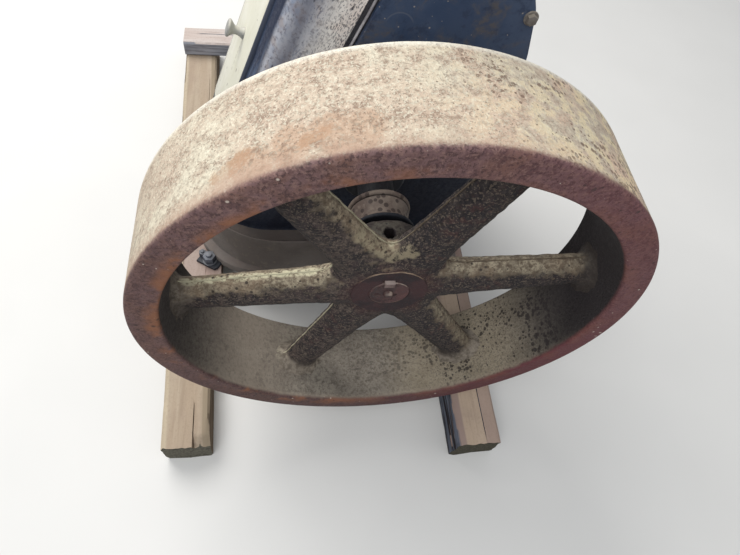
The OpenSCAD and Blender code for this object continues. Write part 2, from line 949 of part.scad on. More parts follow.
left_skid();
right_skid();
cross_timber();
front_left_packing();
front_right_packing();
back_left_packing();
back_right_packing();
bedplate();
crankcase();
front_panel();
front_panel_bead();
back_panel();
left_cover();
left_cover_knob();
right_cover();
right_cover_knob();
near_bearing();
far_bearing();
crankshaft();
flywheel();
flywheel_key();
governor_drive_pulley();
guide_barrel();
steam_cylinder();  // cylinder
cylinder_cover();
steam_chest();
steam_chest_cover();
valve_rod();
valve_rod_guide();
steam_inlet();
exhaust_outlet();
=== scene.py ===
"""Looks of the stationary steam engine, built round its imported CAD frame.

Lengths in the geometry calls are millimetres in the engine's own frame: X across the shaft,
Y along it from the flywheel's front face, Z from the ground. Lengths in the materials are metres.
"""

import math

import bmesh
import bpy
import numpy as np
from mathutils import Matrix, Vector, noise


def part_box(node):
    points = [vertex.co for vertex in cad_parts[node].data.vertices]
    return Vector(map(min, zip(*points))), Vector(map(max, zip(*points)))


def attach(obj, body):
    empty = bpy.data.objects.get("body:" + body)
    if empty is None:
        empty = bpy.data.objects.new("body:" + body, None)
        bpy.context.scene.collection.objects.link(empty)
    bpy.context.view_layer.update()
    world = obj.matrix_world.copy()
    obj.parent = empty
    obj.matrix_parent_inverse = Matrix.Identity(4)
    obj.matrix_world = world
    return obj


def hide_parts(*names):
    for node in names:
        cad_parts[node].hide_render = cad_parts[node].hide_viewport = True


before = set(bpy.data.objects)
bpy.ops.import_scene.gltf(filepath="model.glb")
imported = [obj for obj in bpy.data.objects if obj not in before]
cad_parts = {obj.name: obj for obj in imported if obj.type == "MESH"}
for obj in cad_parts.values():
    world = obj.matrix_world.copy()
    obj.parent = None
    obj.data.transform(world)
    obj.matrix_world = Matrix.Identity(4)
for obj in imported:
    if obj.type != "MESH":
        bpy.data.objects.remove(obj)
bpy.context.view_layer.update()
scene = bpy.context.scene

ENGINE = "engine"
RUNNING = "running_shaft"
MM = 0.001
RIGHT, ALONG, UP = (1, 0, 0), (0, 1, 0), (0, 0, 1)
wheel_low, wheel_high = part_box("flywheel")
AXIS_X = (wheel_low.x + wheel_high.x) / 2
FRONT_Y = wheel_low.y
SHAFT_Z = 600
WHEEL_R = 500
WHEEL_W = 212
PACKING_Z = 95
BED_LEFT = -485
BED_RIGHT = 335
BED_NEAR = 423
BED_FAR = 1087
BED_TOP = 286
CASE_Y = 480
CASE_L = 560
CASE_FAR = CASE_Y + CASE_L
CASE_MID = CASE_Y + CASE_L / 2
CASE_RIGHT = 302
CASE_CORNER = 80
CASE_FAR_CORNER = 150
CASE_SHARP = 30
CASE_TOP = 1088
LEAN = math.radians(21)
COVER_MID = CASE_MID - 58
COVER_FOOT = 475
KNOB_Z = 752
CYL_Z = 1278
CYL_H = 270
CYL_TOP = CYL_Z + CYL_H
CHEST_Y = 498
CHEST_L = 105
CHEST_MID = CHEST_Y + CHEST_L / 2
CHEST_Z = 1303
CHEST_H = 220
CHEST_TOP = CHEST_Z + CHEST_H
CHEST_HALF = 95
PANEL_T = 10
COVER_T = 12
COVER_HALF = 139


def at(x, y, z):
    """A point of the engine's frame, in millimetres, as a point of the row frame, in metres."""
    return Vector((AXIS_X + x * MM, FRONT_Y + y * MM, z * MM))


def case_left_x(z):
    """The crankcase's left wall at a height z."""
    return -345 + (z - SHAFT_Z) * math.tan(LEAN)


def rgb(r, g, b):
    """An 8-bit screen colour as linear light."""
    return tuple(((c / 255 + 0.055) / 1.055) ** 2.4 for c in (r, g, b)) + (1.0,)


# Materials

class Value:
    """A socket in a graph. Sums, products and the like add nodes; a | b is the larger of both."""

    def __init__(self, graph, socket):
        self.graph = graph
        self.socket = socket

    def __rsub__(self, other):
        return self.graph.math("SUBTRACT", other, self)

    def step(self, low, high, to_low=0.0, to_high=1.0):
        """A smooth step from to_low at low to to_high at high."""
        return self.graph.node("MapRange", {
            "Value": self, "From Min": low, "From Max": high, "To Min": to_low, "To Max": to_high,
        }, interpolation_type="SMOOTHSTEP")


def operator(operation):
    """A method that sends its value, and the other one if there is one, through a Math node."""
    return lambda value, *other: value.graph.math(operation, value, *other)


Value.__add__ = operator("ADD")
Value.__sub__ = operator("SUBTRACT")
Value.__mul__ = operator("MULTIPLY")
Value.__truediv__ = operator("DIVIDE")
Value.__or__ = operator("MAXIMUM")
Value.__abs__ = operator("ABSOLUTE")


class Graph:
    """A material whose node graph is written as calls and sums."""

    def __init__(self, name):
        self.material = bpy.data.materials.new(name)
        self.material.use_nodes = True
        self.tree = self.material.node_tree
        self.place = self.node("TexCoord", {}, "Object")
        self.facing = self.node("TexCoord", {}, "Normal")
        self.x, self.y, self.z = (self.axis(i, self.place) for i in range(3))
        self.face_x, self.face_y, self.face_z = (self.axis(i, self.facing) for i in range(3))
        self.depth = self.y - FRONT_Y

    def put(self, socket, value):
        if isinstance(value, Value):
            self.tree.links.new(value.socket, socket)
        else:
            socket.default_value = value

    def node(self, kind, inputs, out=0, **settings):
        """Adds a node, its inputs keyed by name or number, and returns one of its outputs."""
        made = self.tree.nodes.new("ShaderNode" + kind)
        for key, value in settings.items():
            setattr(made, key, value)
        for key, value in inputs.items():
            self.put(made.inputs[key], value)
        return Value(self, made.outputs[out])

    def math(self, operation, *values):
        return self.node("Math", dict(enumerate(values)), operation=operation)

    def vector(self, operation, *values, out=0):
        return self.node("VectorMath", dict(enumerate(values)), out, operation=operation)

    def dot(self, vector, way):
        return self.vector("DOT_PRODUCT", vector, tuple(way), out=1)

    def axis(self, index, vector):
        return self.node("SeparateXYZ", {0: vector}, index)

    def across(self, low, high, *to):
        """A smooth step across the engine, between two distances from the shaft's axis."""
        return self.x.step(AXIS_X + low, AXIS_X + high, *to)

    def radius(self, *centre):
        """Distance from the line along Y through a point of the engine's frame."""
        away = self.vector("SUBTRACT", self.place, tuple(at(*centre)))
        return self.vector("LENGTH", self.vector("MULTIPLY", away, (1, 0, 1)), out=1)

    def stretched(self, x, y, z):
        """The place, scaled so that a texture can run along a grain."""
        return self.vector("MULTIPLY", self.place, (x, y, z))

    def noise(self, scale, detail=4, rough=0.6, place=None, warp=0.0):
        return self.node("TexNoise", {
            "Vector": place or self.place, "Scale": scale, "Detail": detail,
            "Roughness": rough, "Distortion": warp,
        })

    def cells(self, scale, place=None, feature="F1", out="Distance"):
        return self.node("TexVoronoi", {"Vector": place or self.place, "Scale": scale}, out,
                         feature=feature)

    def coats(self, base, *layers):
        """Lays (share, red, green, blue) or (share, colour) layers over a base colour."""
        colour = base if isinstance(base, Value) else rgb(*base)
        for share, *over in layers:
            over = over[0] if len(over) == 1 else rgb(*over)
            colour = self.node("Mix", {0: share, 6: colour, 7: over}, 2, data_type="RGBA")
        return colour

    def near(self, points, size, ragged, scale):
        """1 close to any of the engine's points, 0 beyond size metres, with a ragged edge."""
        found = None
        for point in points:
            away = self.vector("DISTANCE", self.place, tuple(at(*point)), out=1)
            found = away if found is None else self.math("MINIMUM", found, away)
        wobble = self.noise(scale, 3, 0.5) * (size * ragged * 2)
        return (found + wobble).step(size * (0.7 + ragged), size * (1 + ragged), 1.0, 0.0)

    def specks(self, scale, size, patchy, patch_scale=6, place=None, soft=0.35):
        """Round specks in cells of 1/scale metres; size is the speck's radius as a share of a cell."""
        tone = self.node("SeparateColor", {0: self.cells(scale, place, out="Color")})
        field = self.noise(patch_scale, 3, 0.5).step(0.5 - patchy, 0.5 + patchy, 0.35, 1.25)
        radius = self.math("POWER", tone, 1.6) * size * field
        ratio = self.cells(scale, place) / (radius + 0.004)
        return ratio.step(1 - soft, 1 + soft, 1.0, 0.0)

    def finish(self, colour, rough, height=None, depth=0.001, metallic=0.0, specular=0.5):
        inputs = {"Base Color": colour, "Roughness": rough, "Metallic": metallic,
                  "Specular IOR Level": specular}
        if height:
            inputs["Normal"] = self.node("Bump", {"Distance": depth, "Height": height})
        for key, value in inputs.items():
            self.put(self.tree.nodes["Principled BSDF"].inputs[key], value)
        return self.material


def rim_material():
    """Cream scale on the tread, maroon machined faces, and a dusty inside, with painted highlights on the
    tread and painted shade on the faces and the inside.
    """
    g = Graph("rusted rim")
    radial = g.radius(0, 0, SHAFT_Z)
    front = (g.depth + (g.noise(30) - 0.5) * 0.010).step(0.002, 0.012, 1.0, 0.0)
    back = g.depth.step(0.207, 0.2105) * radial.step(0.450, 0.458)
    tread = radial.step(0.480, 0.486)
    broad = g.noise(6)
    middle = g.noise(34, 4, 0.62)
    fine = g.noise(120, 4, 0.68)
    grit = g.noise(230, 3, 0.65)

    # the tread: cream and tan scale, mottled and speckled with brown; its pale specks are partly painted
    # highlights on the rough scale, and a painted highlight runs along its far edge
    right = g.across(-0.10, 0.30)
    ragged = (g.noise(34) - 0.5) * 1.6 + (fine - 0.5) * 0.8
    patches = []
    for centre, run, half_run, half_wide in (((-275, 46, 1017), (0.80, 0.30, 0.52), 0.042, 0.016),
                                             ((-172, 45, 1069), (0.88, 0.36, 0.31), 0.026, 0.012)):
        away = g.vector("SUBTRACT", g.place, tuple(at(*centre)))
        run = Vector(run).normalized()
        cross = run.cross(Vector((centre[0], 0, centre[2] - SHAFT_Z)).normalized())
        u = g.dot(away, run) / half_run
        v = g.dot(away, cross) / half_wide
        patches.append((g.math("SQRT", u * u + v * v) + ragged).step(1.15, 0.7))
    worn = patches[0] | patches[1]
    flake = worn * g.noise(40, 3, 0.6).step(0.36, 0.58, 0.5, 0.9)
    tint = g.near(((-250, 34, 1030), (-200, 44, 1056), (-150, 50, 1075), (-110, 44, 1086)), 0.040, 0.5, 22)
    edge = (g.depth + g.noise(9) * 0.06).step(0.034, 0.078, 1.0, 0.0)
    bare = edge * g.across(-0.30, 0.26, 1.0, 0.22)
    arris = (g.depth + g.noise(24) * 0.016).step(0.008, 0.026, 1.0, 0.0)
    blotch = (fine * 0.8 + middle * 0.2).step(0.50, 0.60)
    speck = (grit * 0.75 + middle * 0.25).step(0.54, 0.62)
    dots = g.specks(128, 0.66, 0.1, 7, soft=0.25) * g.across(-0.20, 0.10, 0.25, 0.85)
    calm = right * -0.5 + 1.0
    spots = blotch * calm * 0.68 | speck * calm * 0.64 | dots
    spots = spots * (1.0 - flake * 0.7) * (1.0 - bare * 0.6)
    # pale specks: cream scale, partly painted highlights on its rough relief, fewer on the right
    pale = (g.noise(240, 3, 0.65).step(0.51, 0.60) * (1.0 - bare * 0.7)
            * (1.0 - (flake * 0.9 | tint * 0.6)) * (right * -0.5 + 0.85))
    outer = g.coats(
        (216, 206, 184),
        (broad.step(0.40, 0.60), 202, 184, 163),
        (middle.step(0.46, 0.62, 0, 0.55), 184, 160, 140),
        (right * broad.step(0.46, 0.6) * 0.7, 238, 206, 180),
        (right * middle.step(0.54, 0.42) * 0.6, 242, 222, 176),
        (flake * 0.9, 172, 138, 108),
        (tint * 0.54, 178, 140, 112),
        (bare * 0.8, 180, 150, 130),
        (arris * 0.7, 140, 108, 96),
        (spots, 124, 100, 84),
        (pale * 0.65, 240, 236, 214),
        # painted highlight: a pale band along the tread's far edge
        (g.depth.step(0.192, 0.207) * 0.7, 250, 246, 232),
    )

    # the machined faces at both ends: maroon with brown rust and pale grains, and painted shade darker
    # towards the bottom and on the left
    inner = (radial + g.noise(30) * 0.05).step(0.474, 0.502, 0.8, 0.0)
    end = g.coats(
        (120, 92, 92),
        (g.noise(8, 5, 0.65, warp=0.8).step(0.44, 0.64), 122, 90, 80),
        (g.noise(40, 5, 0.7).step(0.47, 0.62, 0, 0.8), 86, 60, 60),
        (fine.step(0.50, 0.60, 0, 0.7), 148, 118, 110),
        (grit.step(0.52, 0.59, 0, 0.7), 66, 46, 48),
        (g.z.step(0.74, 0.36) * g.across(-0.1, 0.35) * 0.65, 104, 52, 56),
        # painted shade: darker towards the bottom, and on the left
        (g.z.step(0.56, 0.16) * 0.55, 58, 42, 40),
        (g.across(-0.26, -0.44) * 0.28, 70, 48, 44),
        (g.across(-0.10, 0.36, 0, 0.4), 112, 54, 64),
        (inner * g.across(-0.25, 0.15, 1.0, 0.2) * g.noise(13).step(0.44, 0.58), 150, 100, 70),
        (g.specks(70, 0.24, 0.1) * 0.7, 58, 40, 40),
        (g.specks(60, 0.13, 0.1, 4) * 0.85, 222, 208, 194),
    )

    # the inside: grey brown dust below, specks on the right, and painted shade: near black over the upper
    # right, dark on what doesn't face up
    pits = g.specks(118, 0.74, 0.1, 6, soft=0.25) | grit.step(0.53, 0.60, 0, 0.6)
    # what faces up, where dust settles; what doesn't gets painted shade below
    dust = g.face_z.step(0.0, 0.7)
    lip = radial.step(0.4485, 0.4445) * g.depth.step(0.008, 0.022, 1.0, 0.0) * dust
    inside = g.coats(
        (134, 126, 114),
        (g.noise(18, 5, 0.65).step(0.38, 0.66), 112, 104, 94),
        (fine.step(0.46, 0.62, 0, 0.65), 86, 78, 70),
        (grit.step(0.54, 0.66, 0, 0.6), 164, 154, 140),
        # painted shade: near black over the inside's upper right
        (g.across(0.10, 0.42) * g.z.step(0.28, 0.60) * 0.96, 26, 24, 27),
        (g.across(-0.16, -0.32) * g.z.step(0.5, 0.3) * 0.5, 170, 156, 140),
        (g.across(0.02, 0.16) * g.z.step(0.46, 0.28) * 0.45, 168, 154, 128),
        (pits * g.across(-0.05, 0.28, 0.2, 0.85), 34, 26, 26),
        # painted shade, near black, on inside faces that don't face up
        ((1.0 - dust) * 0.85, 44, 38, 40),
        (lip * 0.35, 160, 146, 130),
    )
    colour = g.coats(inside, (tread, outer), (front | back, end))
    height = spots * -0.5 + fine + grit * 0.5 + middle * 0.5 + worn * 0.15
    return g.finish(colour, fine.step(0.3, 0.7, 0.65, 0.92), height, 0.0024)


def arm_material():
    """Dark rust, with tan scale on what faces up and dust towards the rim; the tan is partly painted light
    from above, with painted shade under and behind the arms.
    """
    g = Graph("rusted arms")
    up = g.face_z
    grime = g.noise(20, 5, 0.65)
    fine = g.noise(85, 5, 0.7)
    grit = g.noise(210, 3, 0.65)
    radial = g.radius(0, 0, SHAFT_Z)
    side = g.across(-0.06, 0.10)
    ragged = (up + g.face_x * 0.35 + (grime - 0.5) * 0.7 + (fine - 0.5) * 0.8
              + side * g.z.step(0.66, 0.76) * -0.34)
    blot = g.noise(46, 5, 0.75, warp=0.5).step(0.47, 0.56)
    rusty = g.noise(11, 4, 0.6, warp=0.6).step(0.5, 0.6) * g.noise(60).step(0.5, 0.6)
    # tan scale on what faces up, lighter there partly as painted light from above; darker right of the
    # shaft
    tan = g.coats(
        (176, 164, 140),
        (fine.step(0.42, 0.60), 120, 107, 90),
        (g.noise(9, 3, 0.5).step(0.46, 0.6, 0, 0.5), 146, 126, 104),
        (blot * 0.4, 84, 72, 60),
        (grit.step(0.52, 0.62, 0, 0.5), 84, 70, 58),
        (side * 0.22, 60, 50, 44),
        # painted highlight: cream on the left arms' upward faces
        (up.step(0.88, 0.98) * g.across(0.1, -0.1) * fine.step(0.62, 0.48) * 0.85, 214, 208, 176),
    )
    hub = (radial + g.noise(30) * 0.12).step(0.120, 0.180, 1.0, 0.0)
    front = g.face_y.step(-0.60, -0.05, 1.0, 0.1)
    crotch = g.near(((-8, 92, 722), (-30, 92, 738), (-52, 92, 762), (-74, 92, 792), (22, 94, 736)),
                    0.022, 0.5, 40)
    # painted shade under the arms: faces that point down and forwards
    under = up.step(0.05, -0.5) * g.face_y.step(-0.1, -0.4)
    spots = g.specks(105, 0.36, 0.16, 8)
    end = (radial + g.noise(34, 4, 0.5) * 0.05).step(0.408, 0.456)
    # dust towards the rim, with painted shade over the upper right and on what doesn't face up
    dust = g.coats(
        (132, 122, 110),
        (fine.step(0.4, 0.62), 98, 90, 80),
        (g.across(0.08, 0.40) * g.z.step(0.24, 0.60) * 0.9, 52, 46, 42),
        (up.step(0.6, -0.1) * 0.75, 58, 50, 46),
    )
    colour = g.coats(
        (80, 69, 64),
        (grime.step(0.42, 0.60), 58, 46, 46),
        (blot * 0.85, 26, 22, 26),
        (fine.step(0.50, 0.58, 0, 0.8), 32, 28, 30),
        (side * 0.58, 28, 24, 28),
        (grit.step(0.53, 0.60, 0, 0.6), 124, 111, 98),
        (rusty * 0.3, 92, 56, 52),
        (ragged.step(0.22, 0.56), tan),
        (hub * front * 0.55, 74, 44, 43),
        (crotch * fine.step(0.62, 0.46) * 0.75, 164, 152, 126),
        # painted shade under the arms
        (under * 0.68, 26, 21, 23),
        (spots * 0.85, 46, 38, 34),
        # painted shade: darker behind the arms' middle and round the hub's back
        (g.depth.step(0.132, 0.156) * 0.84, 42, 37, 40),
        (end * 0.9, dust),
    )
    height = grime * 0.7 + fine * 0.9 + spots * -0.4 + grit * 0.5
    return g.finish(colour, fine.step(0.3, 0.7, 0.7, 0.95), height, 0.0026)


def rust_material(name, base, dark, light, scale, dust=None, dust_share=0.0, rough=0.8, metallic=0.0):
    """Old iron: two tones of grime, dark and light specks, and dust on what faces up."""
    g = Graph(name)
    broad = g.noise(6 * scale, 4, 0.55)
    fine = g.noise(55 * scale, 5, 0.62)
    coats = [(broad.step(0.4, 0.62), *dark), (fine.step(0.52, 0.74, 0, 0.55), *light),
             (g.specks(90 * scale, 0.32, 0.15, 7) * 0.6, *dark)]
    if dust:
        up = (g.face_z + (fine - 0.5) * 0.5).step(0.35, 0.9)
        patch = g.noise(14 * scale).step(0.3, 0.6, 0.45, 1.0)
        coats.append((up * patch * dust_share, *dust))
    height = fine * 0.6 + g.noise(240, 2, 0.5) * 0.4 + broad * 0.5
    return g.finish(g.coats(base, *coats), fine.step(0.3, 0.7, rough - 0.12, rough + 0.1), height,
                    0.0008, metallic)


def shaft_material():
    """Rusted steel with a painted highlight on its top, and painted shade, near black, between the pulley
    and the far end.
    """
    g = Graph("rusted steel")
    fine = g.noise(110, 5, 0.65)
    # painted highlight: pale on the upward faces of the shaft's top, strongest on the right
    worn = (g.face_z.step(0.2, 0.75) * fine.step(0.66, 0.46) * g.across(-0.006, 0.006, 0.25, 0.9)
            * g.z.step(0.59, 0.603))
    colour = g.coats(
        (80, 52, 52),
        (g.noise(26).step(0.4, 0.62), 54, 36, 37),
        (fine.step(0.5, 0.66, 0, 0.5), 112, 82, 78),
        (worn, 184, 166, 152),
        # painted shade: near black between the pulley and the far end
        (g.depth.step(0.20, 0.24) * g.depth.step(1.14, 1.12) * 0.96, 16, 18, 26),
    )
    return g.finish(colour, fine.step(0.3, 0.7, 0.5, 0.75), fine + g.noise(240, 2, 0.5), 0.0007)


def pulley_material():
    """Dull brown iron with round oil spots, and painted shade, near black, on the front flange."""
    g = Graph("spotted pulley iron")
    fine = g.noise(110, 5, 0.65)
    groove = g.depth.step(0.2855, 0.2875) * g.depth.step(0.2900, 0.2885)
    colour = g.coats(
        (134, 120, 108),
        (g.noise(18).step(0.4, 0.62), 104, 88, 80),
        (fine.step(0.5, 0.68, 0, 0.6), 148, 134, 122),
        ((g.cells(60) + fine * 0.08).step(0.40, 0.34, 0, 0.8), 62, 50, 46),
        (groove * 0.8, 50, 44, 42),
        # painted shade: near black on the front flange
        ((g.depth + fine * 0.004).step(0.246, 0.238), 26, 29, 38),
    )
    return g.finish(colour, fine.step(0.3, 0.7, 0.6, 0.85), fine + g.noise(260, 2, 0.5), 0.0007)


SEAM = Vector((124, 0, 307))
SEAM_RUN = SEAM.normalized()
SEAM_SIDE = Vector((SEAM_RUN.z, 0, -SEAM_RUN.x))
SEAM_START = Vector((-129, CASE_Y, 745)) - SEAM_SIDE * 14


def case_material():
    """Blue black paint: bare beside the cover, dusty round the corner, tan and pitted by the seam, and
    painted shade, near black, low down behind the flywheel.
    """
    g = Graph("dusty case paint")
    sideways = g.dot(g.place, SEAM_SIDE)
    upward = g.dot(g.place, SEAM_RUN)

    def along_seam(share):
        """The place turned with the seam, and shortened along it so that a texture runs that way."""
        return g.node("CombineXYZ", {0: sideways, 1: g.y, 2: upward * share})

    grained = along_seam(0.4)
    seam = sideways - at(*SEAM_START).dot(SEAM_SIDE)
    beside = seam.step(0.03, 0.02)
    streak = g.noise(26, place=along_seam(0.14))
    fine = g.noise(120, 5, 0.66)
    broad = g.noise(13)
    turned = g.face_y * -1.0 + (streak - 0.5) * 0.35
    scratch = g.noise(60, 2, 0.5, along_seam(0.05)).step(0.56, 0.64) * broad.step(0.45, 0.6)
    dusty = g.coats(
        (182, 184, 192),
        (broad.step(0.42, 0.6), 136, 146, 166),
        (g.noise(30).step(0.5, 0.66, 0, 0.6), 166, 154, 150),
        (fine.step(0.5, 0.64, 0, 0.6), 96, 98, 110),
        (turned.step(0.66, 0.86) * turned.step(1.05, 0.92) * 0.6, 96, 94, 102),
    )
    high = g.z.step(0.66, 0.80)
    front = g.face_y.step(-0.2, -0.5) * g.across(0.02, -0.02)
    pits = (g.noise(330, 1, 0.5, grained).step(0.54, 0.62) * broad.step(0.4, 0.56, 0.55, 1.0)
            | g.specks(200, 0.32, 0.16, 16, grained))
    tan = g.coats(
        (255, 250, 242),
        (broad.step(0.4, 0.62), 246, 234, 224),
        (fine.step(0.5, 0.66, 0, 0.5), 170, 162, 158),
        (pits * 0.75, 92, 90, 98),
    )
    band = (seam + (broad - 0.5) * 0.06).step(-0.098, -0.040) * beside * turned.step(0.6, 0.95) * high
    chips = g.specks(70, 0.24, 0.15, 9, grained)
    # a pale stripe down the left wall just beyond the left cover
    edges = [at(0, COVER_MID + y, 0).y for y in (146, 148, 190, 184)]
    pale_stripe = g.y.step(*edges[:2]) * g.y.step(*edges[2:]) * g.face_x.step(-0.3, -0.6)
    colour = g.coats(
        (28, 38, 62),
        (streak.step(0.44, 0.62, 0, 0.8), 78, 96, 124),
        (scratch * 0.7, 128, 142, 158),
        (turned.step(0.36, 0.56) * high * front, dusty),
        (band, tan),
        (seam.step(-0.0055, -0.0038) * beside * high * 0.97, 22, 25, 36),
        (chips * 0.7, 40, 42, 52),
        (pale_stripe * 0.9, 226, 226, 216),
        # painted shade: near black navy below about 0.7 m, where the flywheel shades the case
        (g.z.step(0.78, 0.64, 0, 0.92), 22, 27, 42),
        (g.face_z.step(0.6, 0.95) * 0.6, 128, 124, 120),
    )
    height = fine * 0.7 + streak * 0.4 + chips * -0.5 + pits * band * -0.7
    return g.finish(colour, fine.step(0.3, 0.7, 0.5, 0.85), height, 0.0012)


def panel_material():
    """Navy enamel with fine scratches and a brownish bloom of dust."""
    g = Graph("dusty enamel")
    broad = g.noise(8)
    fine = g.noise(90)
    bloom = g.noise(13, 5, 0.65, warp=0.8).step(0.46, 0.64, 0, 0.9)
    cracks = g.cells(9, g.stretched(1.0, 1.0, 0.12), "DISTANCE_TO_EDGE").step(0.004, 0.012, 1, 0)
    arc = abs(g.radius(12, CASE_Y, 947) - 0.028).step(0.0022, 0.0008) * g.z.step(0.953, 0.965)
    line = cracks * g.noise(15, 2, 0.5).step(0.55, 0.65) | arc * 0.5
    grains = g.specks(80, 0.17, 0.1, 6)
    colour = g.coats(
        (48, 65, 92),
        (broad.step(0.38, 0.62), 66, 80, 104),
        (bloom * fine.step(0.4, 0.62, 0.3, 1.0), 86, 82, 82),
        (g.noise(30, 4, 0.7).step(0.52, 0.66, 0, 0.6), 34, 46, 70),
        (line * 0.5, 120, 122, 128),
        (grains * 0.8, 164, 156, 148),
    )
    height = fine * 0.5 + grains * 0.5 + line * -0.4
    return g.finish(colour, broad.step(0.3, 0.7, 0.38, 0.65), height, 0.0005)


def pale_material():
    """Old cream paint with grime and a few chips, a painted shadow below the left knob and painted shade
    on the plates' near edges; a thin seam follows the left cover's far edge.
    """
    g = Graph("old cream paint")
    broad = g.noise(5, 4, 0.55)
    streak = g.noise(28, place=g.stretched(1.4, 1.4, 0.25))
    chips = g.specks(34, 0.16, 0.14, 6)
    seam = abs(g.y - at(0, COVER_MID + 130.5, 0).y).step(0.0022, 0.0012) * g.across(0.0, -0.05)
    # painted shadow of the left knob, running down the plate below it
    run = g.near([(case_left_x(z) - 12, COVER_MID - 3, z) for z in (720, 708, 694, 678, 660)],
                 0.0055, 0.6, 50)
    colour = g.coats(
        (228, 226, 212),
        (broad.step(0.35, 0.65), 216, 214, 196),
        (streak.step(0.55, 0.75, 0, 0.35), 204, 198, 174),
        (g.noise(60, 4, 0.5).step(0.6, 0.72, 0, 0.25), 186, 180, 160),
        (chips * 0.8, 104, 92, 78),
        (seam * 0.85, 84, 88, 102),
        (run * 0.5, 150, 146, 134),
        # painted shade: dark navy on the plates' near edge faces
        (g.face_y.step(-0.6, -0.8) * 0.92, 58, 70, 96),
    )
    height = streak * 0.4 + chips * -0.8 + g.noise(150, 2, 0.5) * 0.3 + seam * -1
    return g.finish(colour, streak.step(0.3, 0.7, 0.42, 0.62), height, 0.0004)


def wood_material(name, ground, dark, pale, along, seed, stain, side, end=None, strips=(), slant=0.0):
    """Weathered timber with grain along one axis.

    dark and pale are its grain; side is both tones of the upright faces, end the tone of the near end.
    strips are (start, stop, red, green, blue, share) across the top, in metres from the shaft's axis.
    """
    g = Graph(name)
    stretch = [1.0, 1.0, 1.0]
    stretch[along] = 0.07
    moved = g.vector("ADD", g.place, (seed, seed * 0.7, seed * 1.3))
    grain_place = g.vector("MULTIPLY", moved, stretch)
    grain = g.noise(90, 5, 0.6, grain_place, 0.3)
    wide = g.noise(22, 3, 0.5, grain_place)
    fine = g.noise(160, 4, 0.65)
    place = g.x - AXIS_X + g.depth * slant + (wide - 0.5) * 0.010
    soft = 0.003
    colour = g.coats(
        ground,
        (wide.step(0.4, 0.62), *pale),
        (grain.step(0.5, 0.68, 0, 0.4), *dark),
        (g.noise(11, place=moved).step(0.5, 0.66, 0, 0.5), *stain),
        *((place.step(start - soft, start + soft) * place.step(stop + soft, stop - soft) * share, *tone)
          for start, stop, *tone, share in strips),
        (fine.step(0.52, 0.68, 0, 0.35), *dark),
        (g.face_z.step(0.75, 0.5) * 0.95, g.coats(side[0], (grain.step(0.42, 0.58), *side[1]))),
    )
    if end:
        darker = tuple(c * 0.55 for c in rgb(*end)[:3]) + (1.0,)
        colour = g.coats(colour, (g.axis(along, g.facing).step(-0.75, -0.9) * 0.95,
                                  g.coats(end, (fine.step(0.42, 0.6), darker))))
    height = grain * 0.7 + fine * 0.5 + wide * 0.4
    return g.finish(colour, 0.88, height, 0.0012, specular=0.2)


def ridge_material():
    """Pale where light falls on the left arms, brown elsewhere."""
    g = Graph("parting ridge")
    mottle = g.noise(70)
    pale = g.coats((196, 190, 162), (mottle.step(0.5, 0.66), 160, 150, 126))
    lit = g.across(0.03, -0.03) * g.face_z.step(-0.2, 0.3)
    return g.finish(g.coats((104, 92, 76), (mottle.step(0.42, 0.6), 80, 68, 58), (lit, pale)), 0.85)


# Geometry

class Form:
    """Points and faces that become one piece."""

    def __init__(self):
        self.points = []
        self.faces = []

    def loft(self, rings, loop=False):
        """Joins rings of equally many points, and caps them or, with loop, joins the last to the first."""
        count = len(rings[0])
        base = len(self.points)
        for ring in rings:
            self.points.extend(ring)
        for j in range(len(rings) if loop else len(rings) - 1):
            here = base + j * count
            there = base + (j + 1) % len(rings) * count
            for k in range(count):
                k2 = (k + 1) % count
                self.faces.append((here + k, here + k2, there + k2, there + k))
        if not loop:
            end = len(self.points)
            self.faces += [tuple(reversed(range(base, base + count))), tuple(range(end - count, end))]
        return self

    def turned(self, profile, centre, axis, steps, loop=False):
        """Revolves (along, radius) pairs, in millimetres, round an axis through centre."""
        place = on(centre, axis)
        turns = [2 * math.pi * k / steps for k in range(steps)]
        return self.loft([[place(radius * math.cos(a), radius * math.sin(a), along) for a in turns]
                          for along, radius in profile], loop)

    def lathe(self, profile, centre, axis, steps, corner, arc=2, loop=False):
        """Revolves a profile with softened corners."""
        return self.turned(soften(profile, corner, arc), centre, axis, steps, loop)

    def slab(self, outline, place, thick, edge, steps=2):
        """A plate of the outline, in place(u, v, w), with its upper edge rounded."""
        rings = [[place(u, v, 0) for u, v in outline]]
        for k in range(steps + 1):
            a = math.pi / 2 * k / steps
            rings.append([place(u, v, thick - edge + edge * math.sin(a))
                          for u, v in inset(outline, edge * (1 - math.cos(a)))])
        return self.loft(rings)


def on(centre, axis):
    """A place(u, v, w), in millimetres, whose w runs along the axis from centre."""
    axis = Vector(axis).normalized()
    side = axis.orthogonal().normalized()
    other = axis.cross(side)
    return lambda u, v, w: centre + (side * u + other * v + axis * w) * MM


def inset(outline, distance):
    """The outline, which runs anticlockwise, moved inwards by distance."""
    moved = []
    for k, here in enumerate(outline):
        here = Vector(here)
        one = (here - Vector(outline[k - 1])).normalized()
        two = (Vector(outline[(k + 1) % len(outline)]) - here).normalized()
        left = Vector((-one.y - two.y, one.x + two.x))
        moved.append(tuple(here + left * distance / max(0.3, 1 + one.dot(two))))
    return moved


def soften(points, radius, steps=3):
    """Rounds the inner corners of a profile."""
    result = [points[0]]
    for before, here, after in zip(points, points[1:], points[2:]):
        here = Vector(here)
        back, ahead = Vector(before) - here, Vector(after) - here
        r = min(radius, back.length * 0.49, ahead.length * 0.49)
        start = here + back.normalized() * r
        stop = here + ahead.normalized() * r
        for i in range(steps + 1):
            t = i / steps
            result.append(tuple(start * (1 - t) ** 2 + here * 2 * t * (1 - t) + stop * t * t))
    return result + [points[-1]]


